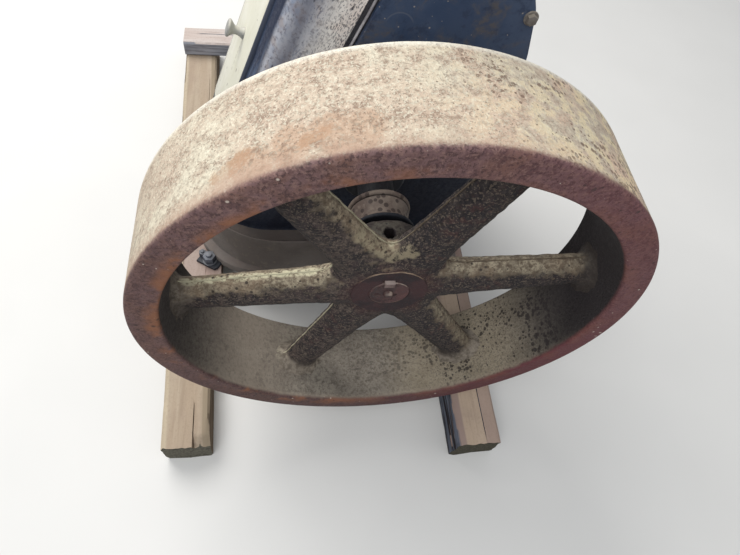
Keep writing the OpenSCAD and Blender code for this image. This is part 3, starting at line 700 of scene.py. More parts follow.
def soften_loop(points, radii, steps, middles):
    """Rounds all corners of a closed outline; middles keeps the middle of each edge as a point."""
    result = []
    for k, here in enumerate(points):
        start, stop = (tuple(Vector(other).lerp(Vector(here), 0.5))
                       for other in (points[k - 1], points[(k + 1) % len(points)]))
        result.extend(soften([start, here, stop], radii[k], steps)[0 if middles else 1:-1])
    return result


def piece(name, form, look, *replaces, body=ENGINE, rough=0.0, rough_scale=40, sharp=38):
    """Makes the form an object that rides on a body. A look is a record's slot, which is not used, and a
    material.
    """
    slot, material = look
    mesh = bpy.data.meshes.new(name)
    mesh.from_pydata(form.points, [], form.faces)
    mesh.validate()
    made = bmesh.new()
    made.from_mesh(mesh)
    bmesh.ops.recalc_face_normals(made, faces=made.faces)
    made.normal_update()
    for v in made.verts:
        v.co += v.normal * noise.noise(v.co * rough_scale) * rough * MM
    made.to_mesh(mesh)
    made.free()
    for face in mesh.polygons:
        face.use_smooth = True
    mesh.set_sharp_from_angle(angle=math.radians(sharp))
    mesh.materials.append(material)
    made = bpy.data.objects.new(name, mesh)
    scene.collection.objects.link(made)
    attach(made, body)
    if replaces:
        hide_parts(*replaces)


def corner_arcs(corners, steps=10):
    """Points of quarter circles, each given by its centre, its radius and its first angle."""
    return [(cx + r * math.cos(a), cy + r * math.sin(a)) for cx, cy, r, start in corners
            for a in (math.radians(start + 90 * k / steps) for k in range(steps + 1))]


def rounded_outline(left, right, low, high, r_left, r_right, steps=10):
    """An anticlockwise outline with one corner radius on its left and one on its right."""
    return corner_arcs((
        (right - r_right, low + r_right, r_right, -90), (right - r_right, high - r_right, r_right, 0),
        (left + r_left, high - r_left, r_left, 90), (left + r_left, low + r_left, r_left, 180),
    ), steps)


def bolt(form, centre, axis, flats, tall, stud, turn, washer=0, washer_t=0):
    """A hexagon head or nut, on a washer if it has a diameter, with a stud's end if it has a length."""
    place = on(centre, axis)
    if washer:
        form.lathe([(0, washer / 2), (washer_t, washer / 2), (washer_t, 1)], centre, axis, 20, 0.8, 1)
    radius = flats / 2 / math.cos(math.pi / 6)
    turns = [turn + math.pi * k / 3 for k in range(6)]
    form.slab([(radius * math.cos(a), radius * math.sin(a)) for a in turns],
              lambda u, v, w: place(u, v, w + washer_t - 0.2), tall, flats * 0.09)
    if stud:
        reach = washer_t + tall + stud
        form.turned([(0, flats * 0.28), (reach - 1.5, flats * 0.28), (reach, flats * 0.2)],
                    centre, axis, 14)


# Looks: a slot of the record and a material for each

# near black: painted shade on the bearing housings behind the flywheel; the foot clamps share it
bearing_black = rust_material("near black iron", (32, 36, 46), (19, 22, 30), (54, 54, 57), 1.0,
                              (50, 52, 58), 0.5, 0.6)
nut_steel = rust_material("weathered nuts", (120, 114, 108), (92, 78, 66), (160, 152, 140), 2.0,
                          (176, 164, 146), 0.5, 0.6)
RIM = "rusty_iron", rim_material()
ARMS = "rusty_iron", arm_material()
RIDGE = "rusty_iron", ridge_material()
HUB = "rusty_iron", rust_material(
    "rusted hub", (61, 38, 40), (34, 22, 26), (92, 66, 62), 3.4, (176, 152, 128), 0.9)
SHAFT = "shaft_steel", shaft_material()
KEY = "shaft_steel", rust_material(
    "dusty key", (126, 108, 104), (86, 68, 66), (156, 140, 134), 2.5, (178, 162, 154), 0.8, 0.7)
SPINDLE = "shaft_steel", nut_steel
PULLEY = "worn_pulley_iron", pulley_material()
CASE = "dark_iron", case_material()
CYLINDER = "dark_iron", rust_material(
    "dark painted iron", (62, 64, 68), (44, 45, 50), (96, 92, 86), 1.0, (134, 126, 114), 0.7, 0.65)
PANEL = "black_paint", panel_material()
COVER = "pale_paint", pale_material()
STRIP = "bead_strip", rust_material(
    "worn sealing strip", (186, 182, 184), (142, 138, 140), (214, 210, 208), 2.5)
BEARING = "grimy_iron", bearing_black
GRIMY = "grimy_iron", rust_material(
    "grimy iron", (88, 78, 66), (58, 50, 44), (122, 110, 92), 1.0, (150, 136, 114), 0.75)
BED = "grimy_iron", rust_material(
    "grimy bedplate", (124, 117, 112), (104, 97, 92), (140, 130, 118), 1.0, (112, 98, 90), 0.5)
CLAMP = "weathered_metal", bearing_black
NUT = "weathered_metal", nut_steel
BLUE_NUT = "weathered_metal", rust_material(
    "blue grey nuts", (92, 98, 110), (46, 50, 60), (138, 140, 146), 2.0, (150, 150, 152), 0.5, 0.6)
KNOB = "weathered_metal", rust_material(
    "weathered knob", (150, 150, 146), (108, 108, 108), (176, 174, 166), 2.0, (206, 202, 188), 0.6, 0.5)
BRASS = "weathered_metal", rust_material(
    "dull brass", (150, 118, 62), (104, 80, 44), (176, 146, 84), 2.0, (140, 126, 100), 0.4, 0.45, 0.6)

SKID_W = 121
SKID_H = 95
LEFT_SKID_L = 1705
LEFT_SKID_NEAR = -80
RIGHT_SKID_NEAR = -125
RIGHT_SKID_X = 250
SKID_SLANT = 59 / LEFT_SKID_L
SKID_LEFT = -0.543 + LEFT_SKID_NEAR * MM * SKID_SLANT

LEFT_SKID = "skid_wood", wood_material(
    "weathered timber", (172, 154, 134), (150, 132, 114), (180, 164, 144), 1, 0.0, (166, 148, 132),
    ((150, 134, 116), (124, 110, 94)), (118, 116, 104),
    ((SKID_LEFT - 0.01, SKID_LEFT + 0.013, 196, 182, 158, 0.7),
     (SKID_LEFT + 0.103, SKID_LEFT + 0.14, 146, 132, 112, 0.85)), SKID_SLANT)
# painted shade: the right skid's upright faces are near black with grey-blue grain
RIGHT_SKID = "skid_wood", wood_material(
    "grey timber", (184, 164, 144), (158, 138, 122), (192, 172, 152), 1, 3.1, (170, 150, 134),
    ((104, 112, 126), (24, 25, 32)), (92, 88, 74),
    ((0.24, 0.272, 146, 126, 122, 0.75), (0.330, 0.372, 166, 144, 136, 0.6)))
CROSS = "skid_wood", wood_material(
    "cross timber", (194, 180, 172), (158, 140, 130), (202, 192, 186), 0, 5.3, (182, 166, 158),
    ((164, 168, 178), (128, 130, 138)))
PACKING = "packing_wood", wood_material(
    "packing timber", (168, 146, 136), (136, 116, 108), (176, 158, 148), 1, 7.7, (132, 118, 112),
    ((120, 100, 90), (84, 70, 64)))


# The flywheel's rim

RIM_IN = 443
RIM_SWELL = 9


def rim_piece():
    corners = [(0, RIM_IN), (0, WHEEL_R), (WHEEL_W, WHEEL_R), (WHEEL_W, RIM_IN),
               (WHEEL_W / 2, RIM_IN - RIM_SWELL)]
    profile = [Vector(point) for point in soften_loop(corners, (6, 9, 9, 6, 40), 6, True)]
    dense = []
    for here, after in zip(profile, profile[1:] + profile[:1]):
        parts = max(1, round((after - here).length / 14))
        dense.extend(here.lerp(after, i / parts) for i in range(parts))
    centre = at(0, 0, SHAFT_Z)
    form = Form().turned(dense, centre, ALONG, 360, True)
    for k, point in enumerate(form.points):
        out = Vector((point.x - centre.x, 0, point.z - centre.z)).normalized()
        swell = noise.noise(point * 9) * 0.5 + noise.noise(point * 60) * 0.22
        form.points[k] = point + out * swell * MM
    piece("flywheel_rim", form, RIM, "flywheel", body=RUNNING, sharp=60)


# The flywheel's arms and hub, drawn as one smooth casting

ARM_COUNT = 6
ARM_TURN = math.radians(4.5)
ARM_MID = 112
ARM_HUB = (114, 64)
ARM_RIM = (82, 56)
HUB_R = 86
HUB_Y = 78
HUB_L = 126
HOLE_Y = 173
HOLE_R = 12.5


def smooth_min(a, b, k):
    h = np.clip(0.5 + 0.5 * (b - a) / k, 0, 1)
    return b * (1 - h) + a * h - k * h * (1 - h)


def casting_distance(x, y, z):
    """Signed distance from the arms and the hub, at points from the shaft's axis and the front face."""
    arms = plan = 1e3
    t = y - ARM_MID
    for k in range(ARM_COUNT):
        a = ARM_TURN + 2 * math.pi * k / ARM_COUNT
        s = x * math.cos(a) + z * math.sin(a)
        c = -x * math.sin(a) + z * math.cos(a)
        share = (s - HUB_R) / (RIM_IN - HUB_R)
        wide, thick = ((hub + (rim - hub) * share) / 2 for hub, rim in zip(ARM_HUB, ARM_RIM))
        k0 = np.sqrt((c / wide) ** 2 + (t / thick) ** 2)
        k1 = np.sqrt((c / wide ** 2) ** 2 + (t / thick ** 2) ** 2)
        oval = k0 * (k0 - 1) / np.maximum(k1, 1e-6)
        arms = smooth_min(arms, np.maximum(oval, np.maximum(-s, s - (RIM_IN + 4))), 14)
        plan = smooth_min(plan, np.maximum(np.abs(c) - wide, -s), 52)
    reach = np.sqrt(x * x + z * z)
    half = WHEEL_W / 2
    rim_face = RIM_IN + 1.5 - RIM_SWELL * np.clip(1 - np.abs(y - half) / half, 0, 1) - reach
    result = np.maximum(smooth_min(arms, rim_face, 34), np.maximum(arms - 36, reach - RIM_IN - 4))
    web = -smooth_min(-plan - np.maximum(0, reach - 132) * 0.3, 18 - np.abs(t), 20)
    result = smooth_min(result, web, 12)
    result = np.maximum(result, HUB_Y + 6 - y - np.maximum(0, reach - HUB_R + 3) * 0.6)
    edge = 7
    radial = reach - (HUB_R - edge)
    ends = np.abs(y - (HUB_Y + 5 + HUB_L / 2)) - (HUB_L / 2 - edge)
    hub = np.minimum(np.maximum(radial, ends), 0) + np.sqrt(
        np.maximum(radial, 0) ** 2 + np.maximum(ends, 0) ** 2) - edge
    jag = 2.2 * np.sin(x * 0.9) * np.cos(y * 0.7)
    hole = np.maximum(np.sqrt(x * x + (y - HOLE_Y) ** 2) - HOLE_R - jag, 40 - z)
    return np.maximum(smooth_min(result, hub, 6), -hole)


def surface_net(field, low, step):
    """Points and four-sided faces of the zero level of a grid of signed distances."""
    inside = field < 0
    shape = np.array(field.shape)
    corners = [(i, j, k) for i in (0, 1) for j in (0, 1) for k in (0, 1)]
    total = sum(inside[tuple(slice(o, n - 1 + o) for o, n in zip(corner, shape))].astype(np.uint8)
                for corner in corners)
    active = (total > 0) & (total < len(corners))
    cell = np.argwhere(active)
    index = np.full(active.shape, -1, np.int64)
    index[active] = np.arange(len(cell))
    place = np.zeros((len(cell), 3))
    count = np.zeros(len(cell))
    unit = np.eye(3, dtype=int)
    for a in corners:
        for axis in range(3):
            if a[axis]:
                continue
            fa, fb = (field[tuple((cell + end).T)] for end in (a, a + unit[axis]))
            cross = (fa < 0) != (fb < 0)
            t = np.where(cross, fa / np.where(cross, fa - fb, 1), 0)
            place[cross] += (a + t[:, None] * unit[axis])[cross]
            count[cross] += 1
    points = low + (cell + place / count[:, None]) * step
    faces = []
    for axis in range(3):
        u, v = (axis + 1) % 3, (axis + 2) % 3
        head, tail = [slice(None)] * 3, [slice(None)] * 3
        head[axis], tail[axis] = slice(1, None), slice(None, -1)
        cut = np.argwhere(inside[tuple(tail)] != inside[tuple(head)])
        for side in (u, v):
            cut = cut[(cut[:, side] > 0) & (cut[:, side] < shape[side] - 1)]
        quad = np.stack([index[tuple((cut - m).T)]
                         for m in (0 * unit[u], unit[u], unit[u] + unit[v], unit[v])], 1)
        flip = inside[tuple(cut.T)]
        quad[~flip] = quad[~flip][:, ::-1]
        faces.append(quad[(quad >= 0).all(1)])
    return points, np.concatenate(faces)


def casting_piece():
    step = 3.3
    low = np.array((-460.0, 42.0, -460.0))
    axes = [low[i] + np.arange(int(size / step) + 1) * step for i, size in enumerate((920, 172, 920))]
    x, y, z = np.meshgrid(*axes, indexing="ij", sparse=True)
    points, faces = surface_net(casting_distance(x, y, z), low, step)
    form = Form()
    form.points = [at(px, py, pz + SHAFT_Z) for px, py, pz in points]
    form.faces = [tuple(face) for face in faces.tolist()]
    piece("flywheel_arms", form, ARMS, "flywheel", body=RUNNING, rough=1.6, rough_scale=60, sharp=80)


def in_casting(r, theta):
    """Whether the casting reaches a point of the arms' middle plane."""
    point = r * math.cos(theta), float(ARM_MID), r * math.sin(theta)
    return casting_distance(*(np.array(c) for c in point)) <= 0


def parting_lines():
    """The thin ridge that the mould's joint left along the arms."""
    form = Form()
    half = math.pi / ARM_COUNT
    radii = [126 + 298 * (i / 63) ** 1.5 for i in range(64)]
    for k in range(ARM_COUNT):
        middle = ARM_TURN + 2 * half * (k + 0.5)
        path = []
        for side in (-1, 1):
            run = []
            for r in radii:
                if in_casting(r, middle):
                    continue
                free, filled = 0.0, half
                for _ in range(22):
                    a = (free + filled) / 2
                    if in_casting(r, middle + side * a):
                        filled = a
                    else:
                        free = a
                theta = middle + side * free
                run.append(Vector((r * math.cos(theta), 0, r * math.sin(theta))))
            path = path + run if side > 0 else run[::-1]
        rings = []
        for i, point in enumerate(path):
            tangent = (path[min(i + 1, len(path) - 1)] - path[max(i - 1, 0)]).normalized()
            out = Vector((-tangent.z, 0, tangent.x))
            if out.dot(Vector((math.cos(middle), 0, math.sin(middle))) * 1000 - point) < 0:
                out = -out
            wave = 0.75 + 0.6 * noise.noise(Vector((k * 7.1, i * 0.35, 0)))
            tall = 2.6 * wave * min(1.0, (i + 1) / 4, (len(path) - i) / 4)
            wide = 3.0 if point.x < -100 and -20 < point.z < 60 else 1.2
            rings.append([
                at(point.x + out.x * u, ARM_MID + v, SHAFT_Z + point.z + out.z * u)
                for u, v in ((-2.5, -wide), (-2.5, wide), (tall, 0.7), (tall, -0.7))
            ])
        form.loft(rings)
    piece("flywheel_parting_ridge", form, RIDGE, "flywheel", body=RUNNING, sharp=50)


def shaft_pieces():
    centre = at(0, 0, SHAFT_Z)
    form = Form().lathe([
        (81.6, 1), (81.4, 12.5), (81.7, 31), (81.2, 35.5), (79.4, 37.6), (78.6, 39.4), (79.2, 41.4),
        (81, 42.4), (1141.5, 42.4), (1142, 40), (1229, 40), (1232, 37), (1232, 4),
    ], centre, ALONG, 64, 0.6)
    form.lathe([(71.5, 1), (71.5, 4), (72, 7), (74, 9.2), (78, 10.4), (90, 11)],
               at(-2, 0, SHAFT_Z - 5), ALONG, 32, 0.6)
    piece("shaft", form, SHAFT, "crankshaft", body=RUNNING, rough=0.5)
    form = Form().slab([(-16, -8.6), (5.5, -8.6), (5.5, 6.5), (-16, 6.5)],
                       lambda u, v, w: at(u, 203 - w, SHAFT_Z + 42.5 + v), 131, 1.8)
    piece("key", form, KEY, "flywheel_key", body=RUNNING, rough=0.5)
    inner = [(-20.5, 38), (-20.5, 51), (7, 51), (7, 42.5)]
    inner += [(43.3 * math.cos(t), 43.3 * math.sin(t)) for t in np.radians(np.linspace(79, -241, 80))]
    turns = [math.atan2(z, x) for x, z in inner]
    rings = [[at(x + (81.5 * math.cos(t) - x) * out, y, SHAFT_Z + z + (81.5 * math.sin(t) - z) * out)
              for (x, z), t in zip(inner, turns)]
             for y, out in ((92, 0.0), (80.2, 0.0), (80.2, 0.5), (80.2, 0.96), (82.4, 1.0), (92, 1.01))]
    piece("hub_face", Form().loft(rings, True), HUB, "flywheel", body=RUNNING, rough=0.9, rough_scale=70)
    profile = [(227, 43), (227, 72), (229, 74.6), (233, 75), (236.5, 72.5), (240, 66), (247, 63),
               (258, 63), (272, 66), (284, 68.5), (287, 68), (288, 66.6), (289.2, 69.5), (292.5, 72.6),
               (297, 73), (301, 71), (302, 67), (302, 43)]
    piece("pulley", Form().lathe(profile, centre, ALONG, 96, 1.5, loop=True), PULLEY,
          "governor_drive_pulley", body=RUNNING, rough=0.5)


rim_piece()
casting_piece()
parting_lines()
shaft_pieces()


# Timbers

def left_skid_x(y):
    return -543 - (y - LEFT_SKID_NEAR) * SKID_SLANT


def timber(name, corner, width, tall, low, long, look, replaces, along="y", cracks=(), chip=None,
           seed=1, base_z=0.0, worn=6.0, lean=0.0):
    """A sawn timber, with its rings closer together near both ends.

    corner(y) is its left edge; cracks are (face, place, half width, depth, start, stop).
    """
    stations = []
    y = low
    while y < low + long - 1:
        stations.append(y)
        y += 7 if (y - low < 160 or low + long - y < 60) else 24
    stations.append(low + long)

    def cracked(face, points, shares):
        """A face's points with those of its cracks, from the last to the first."""
        return sorted({*points, *(place + half * share for where, place, half, *_ in cracks
                                  if where == face for share in shares)}, reverse=True)

    sides = np.linspace(worn, tall - worn, 9).round(2).tolist()
    tops = np.linspace(worn, width - worn, 15).round(2).tolist()
    section = [("bottom", p, p, 0, 0, -1) for p in np.linspace(worn, width - worn, 5)]
    section += [("right", p, width, p, 1, 0) for p in sides]
    section += [("top", p, p, tall, 0, 1) for p in cracked("top", tops, (-1, -0.4, 0, 0.4, 1))]
    section += [("left", p, 0, p, -1, 0) for p in cracked("left", sides, (-1, 0, 1))]
    rings = []
    for y in stations:
        ring = []
        wander = noise.noise(Vector((seed * 3.3, y * 0.012, 1.0))) * 2.2
        for face, place, u, v, out_u, out_v in section:
            sunk = 0.0
            for where, middle, half, depth, start, stop in cracks:
                if where == face and abs(place - middle) <= half and start <= y <= stop:
                    ramp = min(1.0, (y - start + 4) / 40, (stop - y + 4) / 60)
                    sunk += depth * (1 - abs(place - middle) / half) ** 0.7 * ramp
            rough = noise.noise(Vector((u * 0.05 + seed, y * 0.01, v * 0.05))) * 1.4
            rough += noise.noise(Vector((u * 0.3, y * 0.03 + seed, v * 0.3))) * 0.5
            du = out_u * (rough - sunk) + (wander if sunk else 0)
            dv = out_v * (rough - sunk)
            if face == "bottom":
                dv = max(dv, 0.0)
            y_here, cut = chip(u, y, v) if chip else (y, 0.0)
            px = u + du - (lean * (1 - v / tall) if u < worn else 0.0)
            pz = base_z + max(0.0, v + dv - cut)
            ring.append(at(corner(y) + px, y_here, pz) if along == "y" else
                        at(y_here, corner(y) + width - px, pz))
        rings.append(ring)
    piece(name, Form().loft(rings), look, replaces, sharp=42)


def left_chip(u, y, v):
    """The left skid's near end: a split, and its right part broken lower and further back."""
    near = y - LEFT_SKID_NEAR
    y_here = y + max(0.0, 1 - near / 30) * noise.noise(Vector((u * 0.09, v * 0.05, 4.2))) * 5
    cut = 0.0
    if u > 80 and v > 50:
        y_here += max(0.0, 1 - near / 60) * 6
        cut = max(0.0, 1 - near / (30 + 8 * noise.noise(Vector((u * 0.1, 0, 2))))) * (v - 50) * 0.55
    return y_here, cut


def right_chip(u, y, v):
    jag = noise.noise(Vector((u * 0.07, v * 0.05, 8.9))) * 4
    return y + max(0.0, 1 - (y - RIGHT_SKID_NEAR) / 30) * (jag + u * 0.03), 0.0


def missing_corner(u, y, v):
    """The front left packing block's outer front corner is split off."""
    return max(y, BED_NEAR + 46 * (1 - u / 26)) if u < 26 else y, 0.0


timber("left_skid_timber", left_skid_x, SKID_W, SKID_H, LEFT_SKID_NEAR, LEFT_SKID_L, LEFT_SKID,
       "left_skid", cracks=(("top", 80, 1.3, 9, -80, 46), ("top", 96, 1.1, 2, 500, 1400)),
       chip=left_chip, seed=1)
timber("right_skid_timber", lambda y: RIGHT_SKID_X, SKID_W, SKID_H, RIGHT_SKID_NEAR, 1750, RIGHT_SKID,
       "right_skid", cracks=(("top", 80, 1.2, 4, -125, 420), ("left", 68, 6, 5, -125, 500),
                             ("left", 44, 5, 4, -125, 300), ("top", 50, 1.2, 3, 700, 1300)),
       chip=right_chip, seed=2, lean=11.0)
timber("cross_timber_top", lambda x: 1495.0, 100, 60, -599.0, 989.0, CROSS, "cross_timber", along="x",
       cracks=(("top", 40, 2, 6, -560, -100), ("top", 70, 2, 5, 0, 380)), seed=3, base_z=PACKING_Z)
for name in ("front_left_packing", "front_right_packing", "back_left_packing", "back_right_packing"):
    box_low, box_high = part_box(name)
    left = (box_low.x - AXIS_X) / MM
    low = (box_low.y - FRONT_Y) / MM
    timber(name + "_block", lambda y, left=left: left, (box_high.x - box_low.x) / MM, 25, low,
           (box_high.y - box_low.y) / MM, PACKING, name, cracks=(("top", 70, 1.2, 3, low, low + 70),),
           chip=missing_corner if name == "front_left_packing" else None, seed=len(name) + low,
           base_z=PACKING_Z, worn=3.0)


# The bedplate and the crankcase

def bed_piece():
    """A wide foot, and above it a wall with a drip lip round its top."""
    foot = [(3, 120), (0, 122), (0, 146), (1.2, 149), (4, 150)]
    wall = [(0.5, 154), (1, 160), (2.5, 240), (1.5, 262), (0, 274), (0, 296), (0.8, 299), (2.4, 300),
            (4.5, 299.5), (7, 297), (8, 290), (12, 287), (20, BED_TOP), (40, BED_TOP)]
    rings = [[at(x, y, z) for x, y in rounded_outline(BED_LEFT + d, BED_RIGHT - d, BED_NEAR + d,
                                                      BED_FAR - d, r_left - d, r_right - d)]
             for levels, r_left, r_right in ((foot, 200, 60), (wall, 265, 120)) for d, z in levels]
    piece("bedplate_casting", Form().loft(rings), BED, "bedplate", rough=1.0, rough_scale=25)


def case_ring(z, right, corner, drawn):
    left = case_left_x(z)
    far = max(corner, CASE_FAR_CORNER)
    sharp = CASE_SHARP
    return [at(x, y, z) for x, y in corner_arcs((
        (right - sharp, CASE_Y + sharp, sharp - drawn, -90),
        (right - sharp, CASE_FAR - sharp, sharp - drawn, 0),
        (left + far, CASE_FAR - far, far - drawn, 90),
        (left + corner, CASE_Y + corner, corner - drawn, 180),
    ))]


def case_piece():
    """The near left corner's radius grows towards the bed; the right side slopes in above the panel."""
    rings = [case_ring(z, CASE_RIGHT, CASE_CORNER + 138 * max(0.0, (450 - z) / (450 - BED_TOP)), drawn)
             for z, drawn in ((BED_TOP, -5), (289, -2), *((z, 0) for z in (
                 296, 340, 400, 450, 520, 600, 680, 760, 830, 890)))]
    rings += [case_ring(z, CASE_RIGHT - 62 * share, CASE_CORNER, 0)
              for z, share in ((930, 0.1), (989, 0.32), (1035, 0.63), (1075, 1.0))]
    edge = CASE_TOP - 1075
    rings += [case_ring(1075 + edge * math.sin(a), CASE_RIGHT - 62, CASE_CORNER, edge * (1 - math.cos(a)))
              for a in map(math.radians, (20, 40, 60, 78, 90))]
    piece("crankcase_casting", Form().loft(rings), CASE, "crankcase", rough=0.9, rough_scale=18)


def panels():
    corners = [(-129, 745), (295, 745), (295, 890), (275.2, 989), (246.6, 1052), (-5, 1052)]
    outline = soften_loop(corners, [10] * 6, 3, False)
    bolts = Form()
    for side, y, way in (("front", CASE_Y, -1), ("back", CASE_FAR, 1)):
        plate = Form().slab(outline, lambda u, v, w: at(u, y + way * w, v), PANEL_T, 2.2)
        piece(side + "_panel_plate", plate, PANEL, side + "_panel", rough=0.4)
        for x, z in ((268, 978), (272, 850), (272, 765), (-100, 765), (10, 1035), (120, 1035), (225, 1035),
                     (80, 765)):
            bolt(bolts, at(x, y + PANEL_T * way, z), (0, way, 0), 20, 9, 0, z * 0.7 + x, 30, 3)
    rings = []
    for i in range(41):
        s = SEAM.length * i / 40
        waver = noise.noise(Vector((s * 0.02, 3.0, 0)))
        ring = []
        for a in range(12):
            t = math.pi * a / 11
            p = SEAM_START + SEAM_RUN * s + SEAM_SIDE * (7.5 - 2.5 * math.cos(t) + waver * 0.7)
            ring.append(at(p.x, CASE_Y - (4.5 + waver * 0.5) * math.sin(t) ** 0.6, p.z))
        rings.append(ring)
    piece("front_panel_strip", Form().loft(rings), STRIP, "front_panel_bead")
    piece("panel_bolts", bolts, NUT)


def covers():
    up = Vector((math.sin(LEAN), 0, math.cos(LEAN)))
    out = Vector((-math.cos(LEAN), 0, math.sin(LEAN)))

    def on_wall(s, y, w):
        """s up the slope from the cover's lower edge, w out of the wall."""
        p = Vector((case_left_x(COVER_FOOT), 0, COVER_FOOT)) + up * s + out * w
        return at(p.x, y, p.z)

    plate = rounded_outline(0, 590, COVER_MID - 134, COVER_MID + COVER_HALF, 16, 16, 5)
    left = Form().loft([[on_wall(u, v, w) for u, v in inset(plate, drawn)]
                        for w, drawn in ((0, 3), (3, 1), (9, 0), (11, 0.6), (COVER_T, 2.2))])
    plate = rounded_outline(455, 885, COVER_MID - COVER_HALF, COVER_MID + COVER_HALF, 16, 16, 5)
    right = Form().slab(plate, lambda u, v, w: at(CASE_RIGHT + w, v, u), COVER_T, 3.0, 3)
    knob = [(0, 14.5), (3, 14), (6, 11.5), (12, 9.4), (19, 9), (25, 10.6), (30, 15), (34, 19.5), (37, 21),
            (40, 19.5), (42, 13), (42.5, 5)]
    slope = (KNOB_Z - COVER_FOOT) / math.cos(LEAN)
    for side, form, centre, axis in (("left", left, on_wall(slope, COVER_MID, 11.6), out),
                                     ("right", right, at(CASE_RIGHT + COVER_T, COVER_MID, KNOB_Z), RIGHT)):
        piece(side + "_cover_plate", form, COVER, side + "_cover", rough=0.5, rough_scale=12)
        piece(side + "_knob", Form().lathe(knob, centre, axis, 40, 2.5, 3), KNOB, side + "_cover_knob",
              rough=0.5)


# Bearings, cylinder and steam chest

def bearings():
    form = Form()
    nuts = Form()
    housing = [(0, 42.6), (0, 120), (17, 120), (20, 117), (20, 84), (27, 75), (86, 75), (92, 70),
               (92, 42.6)]
    for y, way in ((CASE_Y, -1), (CASE_FAR, 1)):
        form.lathe(housing, at(0, y, SHAFT_Z), (0, way, 0), 72, 3, 3, True)
        form.lathe([(60, 17), (85, 17), (90, 14), (91, 4)], at(0, y + way * 56, SHAFT_Z), UP, 24, 1.5)
        for k in range(6):
            a = math.radians(30 + 60 * k)
            bolt(nuts, at(99 * math.cos(a), y + way * 20, SHAFT_Z + 99 * math.sin(a)), (0, way, 0),
                 22, 14, 5, k)
    piece("bearing_housings", form, BEARING, "near_bearing", "far_bearing", rough=0.6)
    piece("bearing_nuts", nuts, NUT)


def upper_works():
    """The guide barrel, the cylinder with its cover, and the steam chest with its pipes."""
    over_case = at(0, CASE_MID, CASE_TOP)
    cylinder = at(0, CASE_MID, CYL_Z)
    middle = CYL_Z + CYL_H / 2
    form = Form().lathe([(0, 148), (18, 148), (22, 145), (26, 122), (34, 113), (156, 113), (164, 122),
                         (168, 145), (172, 148), (190, 148)], over_case, UP, 72, 3)
    piece("guide_barrel_casting", form, CYLINDER, "guide_barrel", rough=0.6)
    form = Form().lathe([(0, 155), (20, 156), (24, 153), (26, 143), (34, 142.5), (236, 142.5), (244, 143),
                         (246, 153), (250, 156), (270, 155)], cylinder, UP, 84, 2.5)

    def upright(u, v, w):
        return at(u, v, CHEST_Z + w)

    back = CHEST_Y + CHEST_L
    half = CHEST_HALF
    form.slab([(-half, back), (half, back), (half, 700), (-half, 700)], upright, CHEST_H, 5)
    form.lathe([(100, 49), (147, 49), (149, 47), (149, 31)], at(0, CASE_MID, middle), RIGHT, 48, 2)
    piece("cylinder_casting", form, CYLINDER, "cylinder", rough=0.5)
    form = Form().lathe([(0, 156), (19, 156), (22, 152), (23, 104), (30, 98), (35, 94), (36, 20), (40, 16),
                         (40, 3)], at(0, CASE_MID, CYL_TOP - 0.4), UP, 84, 2.5, 3)
    piece("cylinder_cover_casting", form, CYLINDER, "cylinder_cover", rough=0.6)
    bands = Form()
    for z in (60, 135, 210):
        bands.lathe([(z - 11, 142.8), (z - 11, 144.6), (z + 11, 144.6), (z + 11, 142.8)], cylinder, UP, 84,
                    0.5, 1, True)
    piece("lagging_bands", bands, BRASS)
    form = Form().slab([(-half, CHEST_Y), (half, CHEST_Y), (half, back), (-half, back)], upright,
                       CHEST_H, 4)
    form.lathe([(-26, 12), (-26, 26), (-6, 26), (0, 30), (6, 30)], at(0, CHEST_MID, CHEST_Z), UP, 36, 2)
    piece("steam_chest_casting", form, CYLINDER, "steam_chest", rough=0.6)
    form = Form().slab(rounded_outline(-half, half, CHEST_Z, CHEST_TOP, 10, 10, 4),
                       lambda u, v, w: at(u, CHEST_Y - w, v), 20, 3)
    form.slab(rounded_outline(-55, 55, CHEST_Z + 40, CHEST_TOP - 40, 14, 14, 4),
              lambda u, v, w: at(u, CHEST_Y - 18 - w, v), 2, 1)
    piece("steam_chest_lid", form, CYLINDER, "steam_chest_cover", rough=0.5)
    below_chest = at(0, CHEST_MID, CASE_TOP)
    piece("valve_spindle", Form().turned([(0.3, 10.9), (180, 10.9)], below_chest, UP, 32), SPINDLE,
          "valve_rod")
    form = Form().lathe([(0, 11.1), (0, 42), (13, 42), (16, 39), (19, 28), (24, 25), (66, 25), (70, 22),
                         (70, 11.1)], below_chest, UP, 40, 2, loop=True)
    piece("valve_spindle_guide", form, GRIMY, "valve_rod_guide", rough=0.4)
    for centre, axis, length, bore, flange, name in (
        (at(0, CHEST_MID, CHEST_TOP), UP, 80, 25, 70, "steam_inlet"),
        (at(149, CASE_MID, middle), RIGHT, 72, 31, 80, "exhaust_outlet"),
    ):
        outer = bore + 9
        form = Form().lathe([
            (0, bore), (0, outer + 5), (6, outer + 1), (10, outer), (length - 26, outer),
            (length - 20, outer + 3), (length - 18, flange), (length, flange), (length, bore),
        ], centre, axis, 56, 2, loop=True)
        piece(name + "_flange", form, GRIMY, name, rough=0.5)
    nuts = Form()
    for count, reach, z, way, flats, tall, stud in (
        (8, 134, CASE_TOP + 22, 1, 19, 13, 6), (8, 134, CYL_Z - 22, -1, 19, 13, 4),
        (10, 130, CYL_TOP + 21, 1, 22, 15, 0),
    ):
        for k in range(count):
            a = 2 * math.pi * (k + 0.5) / count
            bolt(nuts, at(reach * math.cos(a), CASE_MID + reach * math.sin(a), z), (0, 0, way),
                 flats, tall, stud, k)
    places = [(x, z, x) for x in (-80, -27, 27, 80) for z in (CHEST_Z + 14, CHEST_TOP - 14)]
    places += [(x, z, z) for z in (CHEST_Z + 62, CHEST_Z + 110, CHEST_Z + 158) for x in (-80, 80)]
    for x, z, turn in places:
        bolt(nuts, at(x, CHEST_Y - 20, z), (0, -1, 0), 17, 11, 0, turn)
    piece("flange_nuts", nuts, NUT)


